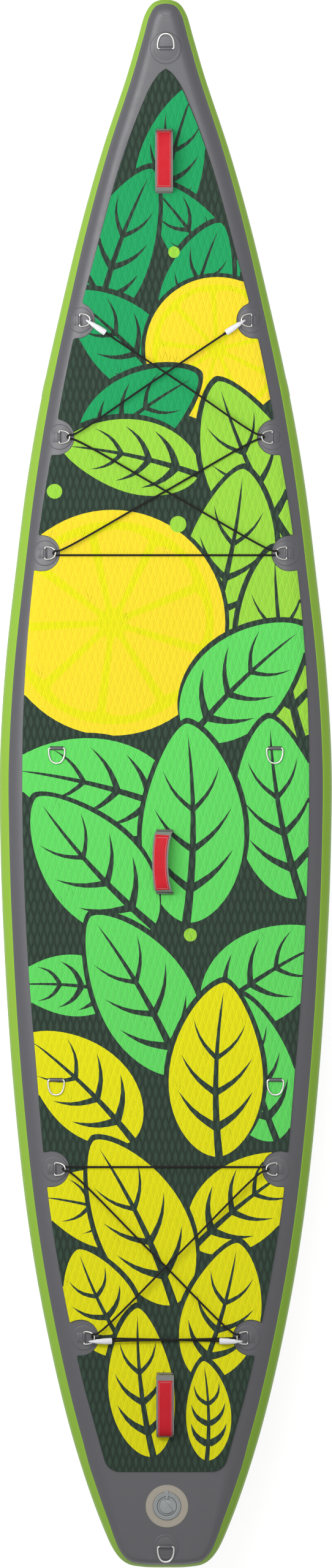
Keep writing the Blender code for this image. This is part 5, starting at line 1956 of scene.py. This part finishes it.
def make_pad():
    """The EVA deck pad: printed grooved top, rounded border and cut edge down to the deck."""
    sizes = bpy.context.scene.paddle_board_sizes
    bm = PadSheet(sizes).build()
    bmesh.ops.remove_doubles(bm, verts=bm.verts, dist=1.2e-5)
    bmesh.ops.recalc_face_normals(bm, faces=bm.faces)
    border = [edge for edge in bm.edges if len(edge.link_faces) == 1]
    start = bm.verts.layers.float_vector.new("start")
    away = bm.verts.layers.float_vector.new("away")
    note_border(border, start, away)
    bevel, cut = sizes.pad_bevel, INKS.index("edge")
    for out, lift, ink in ((bevel * 0.65, PAD * 0.86, None), (bevel, PAD * 0.5, cut), (bevel, 0.0, cut)):
        made = bmesh.ops.extrude_edge_only(bm, edges=border)["geom"]
        fresh = {item for item in made if isinstance(item, bmesh.types.BMVert)}
        for vert in fresh:
            spot = vert[start] + vert[away] * out
            vert.co = on_deck(spot.x, spot.y, GAP + lift)
        if ink:
            for face in (item for item in made if isinstance(item, bmesh.types.BMFace)):
                face.material_index = ink
        border = [item for item in made if isinstance(item, bmesh.types.BMEdge) and set(item.verts) <= fresh]
    finishes = ["foam_" + ink for ink in INKS]
    pad = make_piece("pad_foam", bm, finishes, "board", ["deck_pad"], smooth=24.0, normals=False)


def note_border(border, start, away):
    """Keeps each border point's place in plan and the way out of the pad. A slot's edge hardly moves."""
    ways = {}
    for edge in border:
        face = edge.link_faces[0]
        a, b = (vert.co for vert in edge.verts)
        run = (b - a).to_2d()
        if run.length < 1e-7:
            continue
        out = Vector((run.y, -run.x)).normalized()
        if out.dot(face.calc_center_median().to_2d() - a.to_2d()) > 0:
            out = -out
        for vert in edge.verts:
            ways[vert] = ways.get(vert, Vector((0, 0))) + out * run.length
    slots = [Region(slot) for slot in pad_openings()]
    for edge in border:
        for vert in edge.verts:
            way = ways.get(vert, Vector((0, 0)))
            way = way.normalized() if way.length else way
            probe = vert.co.to_2d() + way * 0.001
            if any(slot.holds(probe.x, probe.y) for slot in slots):
                way = way * 0.05
            vert[start] = (vert.co.x, vert.co.y, 0.0)
            vert[away] = (way.x, way.y, 0.0)


class PADDLEBOARD_OT_stage(bpy.types.Operator):
    """Set up the white studio, its lights and the camera over the board"""

    bl_idname = "paddle_board.stage"
    bl_label = "Studio"

    def execute(self, context):
        make_floor()
        make_world(context.scene)
        make_lamps()
        make_camera(context.scene)
        return {"FINISHED"}


class PADDLEBOARD_OT_hull(bpy.types.Operator):
    """Build the deck, the underside and the rail bands"""

    bl_idname = "paddle_board.hull"
    bl_label = "Hull skins"

    def execute(self, context):
        make_skin("deck_sheet", 1, "deck_cloth", ["deck_skin", "dropstitch_core"])
        make_skin("underside_sheet", -1, "underside_cloth", ["bottom_skin"])
        join = min(range(len(STATIONS)), key=lambda index: abs(STATIONS[index]["edge"].y - RAIL_JOIN))
        make_rail("rail_band_nose", STATIONS[: join + 1], "nose", ["rail_nose"], True)
        make_rail("rail_band_body", STATIONS[join:], "tail", ["rail_body"], False)
        return {"FINISHED"}


class PADDLEBOARD_OT_pad(bpy.types.Operator):
    """Build the printed foam deck pad with its diamond grooves"""

    bl_idname = "paddle_board.pad"
    bl_label = "Deck pad"

    def execute(self, context):
        make_pad()
        return {"FINISHED"}


class PADDLEBOARD_OT_rings(bpy.types.Operator):
    """Build the D-rings and their welded patches"""

    bl_idname = "paddle_board.rings"
    bl_label = "Rings and patches"

    def execute(self, context):
        height = bar_over_patch(LARGE_RING)
        ends = (("nose", NOSE_RING_Y, 1, NOSE_PATCH_RADIUS), ("tail", TAIL_RING_Y, -1, PATCH_RADIUS))
        for end, y, way, radius in ends:
            names = (f"{end}_patch", f"{end}_ring_patch", f"{end}_d_ring", f"{end}_ring")
            make_free_ring(names, (0.0, y), way, height, height - GAP - PATCH, radius, "wide")
        height = GAP + PAD + SEAT_BAR_ABOVE_PAD
        for end, (x, y) in SEAT_RINGS.items():
            for hand, side in SIDES:
                key = f"{end}_{hand}"
                names = (f"seat_tab_{key}", f"seat_patch_{key}", f"seat_d_ring_{key}", f"seat_ring_{key}")
                spot = (side * x, y)
                make_free_ring(names, spot, -1, height, SEAT_BAR_ABOVE_PAD, PATCH_RADIUS, "under_pad")
        height = bar_over_patch(SMALL_RING)
        for key, (place, ring_place) in bungee_ring_places().items():
            patch = f"bungee_patch_{key}"
            make_patch(f"bungee_tab_{key}", SMALL_RING, place, height, PATCH_RADIUS, patch, "small")
            make_ring(f"bungee_d_ring_{key}", SMALL_RING, ring_place, "board", f"bungee_ring_{key}")
        return {"FINISHED"}


def fore_lacing(rings):
    """The fore bungee's hooks, left and right, and its route from the one to the other."""
    right_2, right_3 = (wrap(rings[key], 1) for key in ("right_2", "right_3"))
    left_2, left_3 = (wrap(rings[key], 1) for key in ("left_2", "left_3"))
    left_hook, first = hook_line(rings["left_1"], FORE_HOOK_AT, right_2[0])
    right_hook, last = hook_line(rings["right_1"], FORE_HOOK_AT, left_2[0])
    route = [first, crossing(first, right_2[0], CROSSING_LIFT), *right_2]
    route += [crossing(right_2[-1], left_3[0], -CROSSING_LIFT), *left_3]
    route += [crossing(left_3[-1], right_3[-1], 0.0), *reversed(right_3)]
    route += [crossing(right_3[0], left_2[-1], CROSSING_LIFT), *reversed(left_2)]
    route += [crossing(left_2[0], last, -CROSSING_LIFT), last]
    return (left_hook, right_hook), route


def aft_lacing(rings):
    """The aft bungee's hooks, left and right, and its route from the one to the other."""
    right_5, left_5 = (wrap(rings[key], 1, AFT_WRAP_SHIFT) for key in ("right_5", "left_5"))
    left_4, right_4 = (wrap(rings[key], -1) for key in ("left_4", "right_4"))
    left_hook, first = hook_line(rings["left_5"], AFT_HOOK_AT, right_5[-1])
    right_hook, last = hook_line(rings["right_5"], AFT_HOOK_AT, left_5[-1])
    route = [first, *passing(first, right_5[-1], UPPER_STRAND), *reversed(right_5)]
    route += [crossing(right_5[0], left_4[0], -CROSSING_LIFT), *left_4]
    route += [crossing(left_4[-1], right_4[-1], 0.0), *reversed(right_4)]
    route += [crossing(right_4[0], left_5[0], CROSSING_LIFT), *left_5]
    route += [*passing(left_5[-1], last, LOWER_STRAND), last]
    return (left_hook, right_hook), route


class PADDLEBOARD_OT_bungees(bpy.types.Operator):
    """Build both bungees and their hooks"""

    bl_idname = "paddle_board.bungees"
    bl_label = "Bungees"

    def execute(self, context):
        rings = {key: ring for key, (_, ring) in bungee_ring_places().items()}
        for end, lacing in (("fore", fore_lacing), ("aft", aft_lacing)):
            hooks, route = lacing(rings)
            for (side, _), points in zip(SIDES, hooks):
                make_hook(f"{end}_nylon_hook_{side}", points, f"{end}_hook_{side}")
            make_cord(f"{end}_braided_cord", route, f"{end}_bungee")
        return {"FINISHED"}


class PADDLEBOARD_OT_handles(bpy.types.Operator):
    """Build the three carry handles"""

    bl_idname = "paddle_board.handles"
    bl_label = "Carry handles"

    def execute(self, context):
        for name, handle in HANDLES.items():
            make_handle(name, *handle)
        return {"FINISHED"}


class PADDLEBOARD_OT_valve(bpy.types.Operator):
    """Build the inflation valve with its cap"""

    bl_idname = "paddle_board.valve"
    bl_label = "Valve"

    def execute(self, context):
        make_valve()
        return {"FINISHED"}


class PADDLEBOARD_OT_fin(bpy.types.Operator):
    """Build the fin and finish its box and fittings"""

    bl_idname = "paddle_board.fin"
    bl_label = "Fin"

    def execute(self, context):
        make_fin()
        return {"FINISHED"}


def seen_rays(tree):
    """One for rays from the camera, from gloss and through glass, and nought for the rest."""
    paths = tree.nodes.new("ShaderNodeLightPath")
    total = paths.outputs["Is Camera Ray"]
    for ray in ("Is Glossy Ray", "Is Transmission Ray"):
        node = tree.nodes.new("ShaderNodeMath")
        node.operation = "MAXIMUM"
        tree.links.new(total, node.inputs[0])
        tree.links.new(paths.outputs[ray], node.inputs[1])
        total = node.outputs[0]
    return total


def backdrop_finish():
    """White paper that shows white to the camera and keeps a faint shadow."""
    material = bpy.data.materials.new("studio_paper")
    material.use_nodes = True
    tree = material.node_tree
    shader = tree.nodes["Principled BSDF"]
    shader.inputs["Base Color"].default_value = (PAPER_TONE, PAPER_TONE, PAPER_TONE, 1.0)
    shader.inputs["Roughness"].default_value = 0.9
    shader.inputs["Specular IOR Level"].default_value = 0.1
    shader.inputs["Emission Color"].default_value = (1.0, 1.0, 1.0, 1.0)
    glow = tree.nodes.new("ShaderNodeMath")
    glow.operation = "MULTIPLY"
    glow.inputs[1].default_value = PAPER_GLOW
    tree.links.new(seen_rays(tree), glow.inputs[0])
    tree.links.new(glow.outputs[0], shader.inputs["Emission Strength"])
    return material


def make_floor():
    """White paper under the board."""
    bm = bmesh.new()
    bmesh.ops.create_grid(bm, x_segments=24, y_segments=24, size=PAPER_SIZE)
    mesh = bpy.data.meshes.new("studio_floor")
    bm.to_mesh(mesh)
    bm.free()
    mesh.materials.append(backdrop_finish())
    floor = add_object("studio_floor", mesh)
    floor.location = (0.0, 0.0, CAD_BOX[0][2] - 0.002)


def make_world(scene):
    """White surroundings that light the board only softly."""
    world = bpy.data.worlds.new("studio")
    world.use_nodes = True
    scene.world = world
    tree = world.node_tree
    background = tree.nodes["Background"]
    background.inputs["Color"].default_value = (1.0, 1.0, 1.0, 1.0)
    level = tree.nodes.new("ShaderNodeMapRange")
    level.inputs["To Min"].default_value = WORLD_LIGHT
    level.inputs["To Max"].default_value = 1.0
    tree.links.new(seen_rays(tree), level.inputs["Value"])
    tree.links.new(level.outputs["Result"], background.inputs["Strength"])


def make_lamps():
    """A soft key from the left and a ceiling over the nose."""
    for name, place, target, size, power in LAMPS:
        data = bpy.data.lights.new(name, "AREA")
        data.shape = "RECTANGLE"
        data.size, data.size_y = size
        data.energy = power
        lamp = add_object(name, data)
        lamp.location = place
        lamp.rotation_mode = "QUATERNION"
        lamp.rotation_quaternion = (Vector(target) - Vector(place)).to_track_quat("-Z", "Y")
        lamp.visible_camera = False


def make_camera(scene):
    """The camera far over the board, looking straight down with the nose up."""
    data = bpy.data.cameras.new("overhead_camera")
    data.lens = CAMERA_LENS
    data.sensor_width = 36.0
    data.clip_end = 200.0
    camera = add_object("overhead_camera", data)
    camera.location = CAMERA_PLACE
    scene.camera = camera
    scene.view_settings.view_transform = "Standard"


OPERATORS = (
    PADDLEBOARD_OT_stage,
    PADDLEBOARD_OT_hull,
    PADDLEBOARD_OT_pad,
    PADDLEBOARD_OT_rings,
    PADDLEBOARD_OT_bungees,
    PADDLEBOARD_OT_handles,
    PADDLEBOARD_OT_valve,
    PADDLEBOARD_OT_fin,
)


class PADDLEBOARD_PT_panel(bpy.types.Panel):
    """Buttons and settings of the paddle board"""

    bl_idname = "PADDLEBOARD_PT_panel"
    bl_label = "Paddle Board"
    bl_space_type = "VIEW_3D"
    bl_region_type = "UI"
    bl_category = "Paddle Board"

    def draw(self, context):
        for operator in OPERATORS:
            self.layout.operator(operator.bl_idname)
        for group in (context.scene.paddle_board_sizes, context.scene.paddle_board_colours):
            box = self.layout.box()
            for name in group.__annotations__:
                box.prop(group, name)


CLASSES = (PaddleBoardSizes, PaddleBoardColours, *OPERATORS, PADDLEBOARD_PT_panel)


def register():
    for cls in CLASSES:
        bpy.utils.register_class(cls)
    bpy.types.Scene.paddle_board_sizes = bpy.props.PointerProperty(type=PaddleBoardSizes)
    bpy.types.Scene.paddle_board_colours = bpy.props.PointerProperty(type=PaddleBoardColours)


def unregister():
    del bpy.types.Scene.paddle_board_colours
    del bpy.types.Scene.paddle_board_sizes
    for cls in reversed(CLASSES):
        bpy.utils.unregister_class(cls)


def main():
    """Builds the board piece by piece."""
    register()
    for operator in OPERATORS:
        group, name = operator.bl_idname.split(".")
        getattr(getattr(bpy.ops, group), name)()


if __name__ == "__main__":
    main()
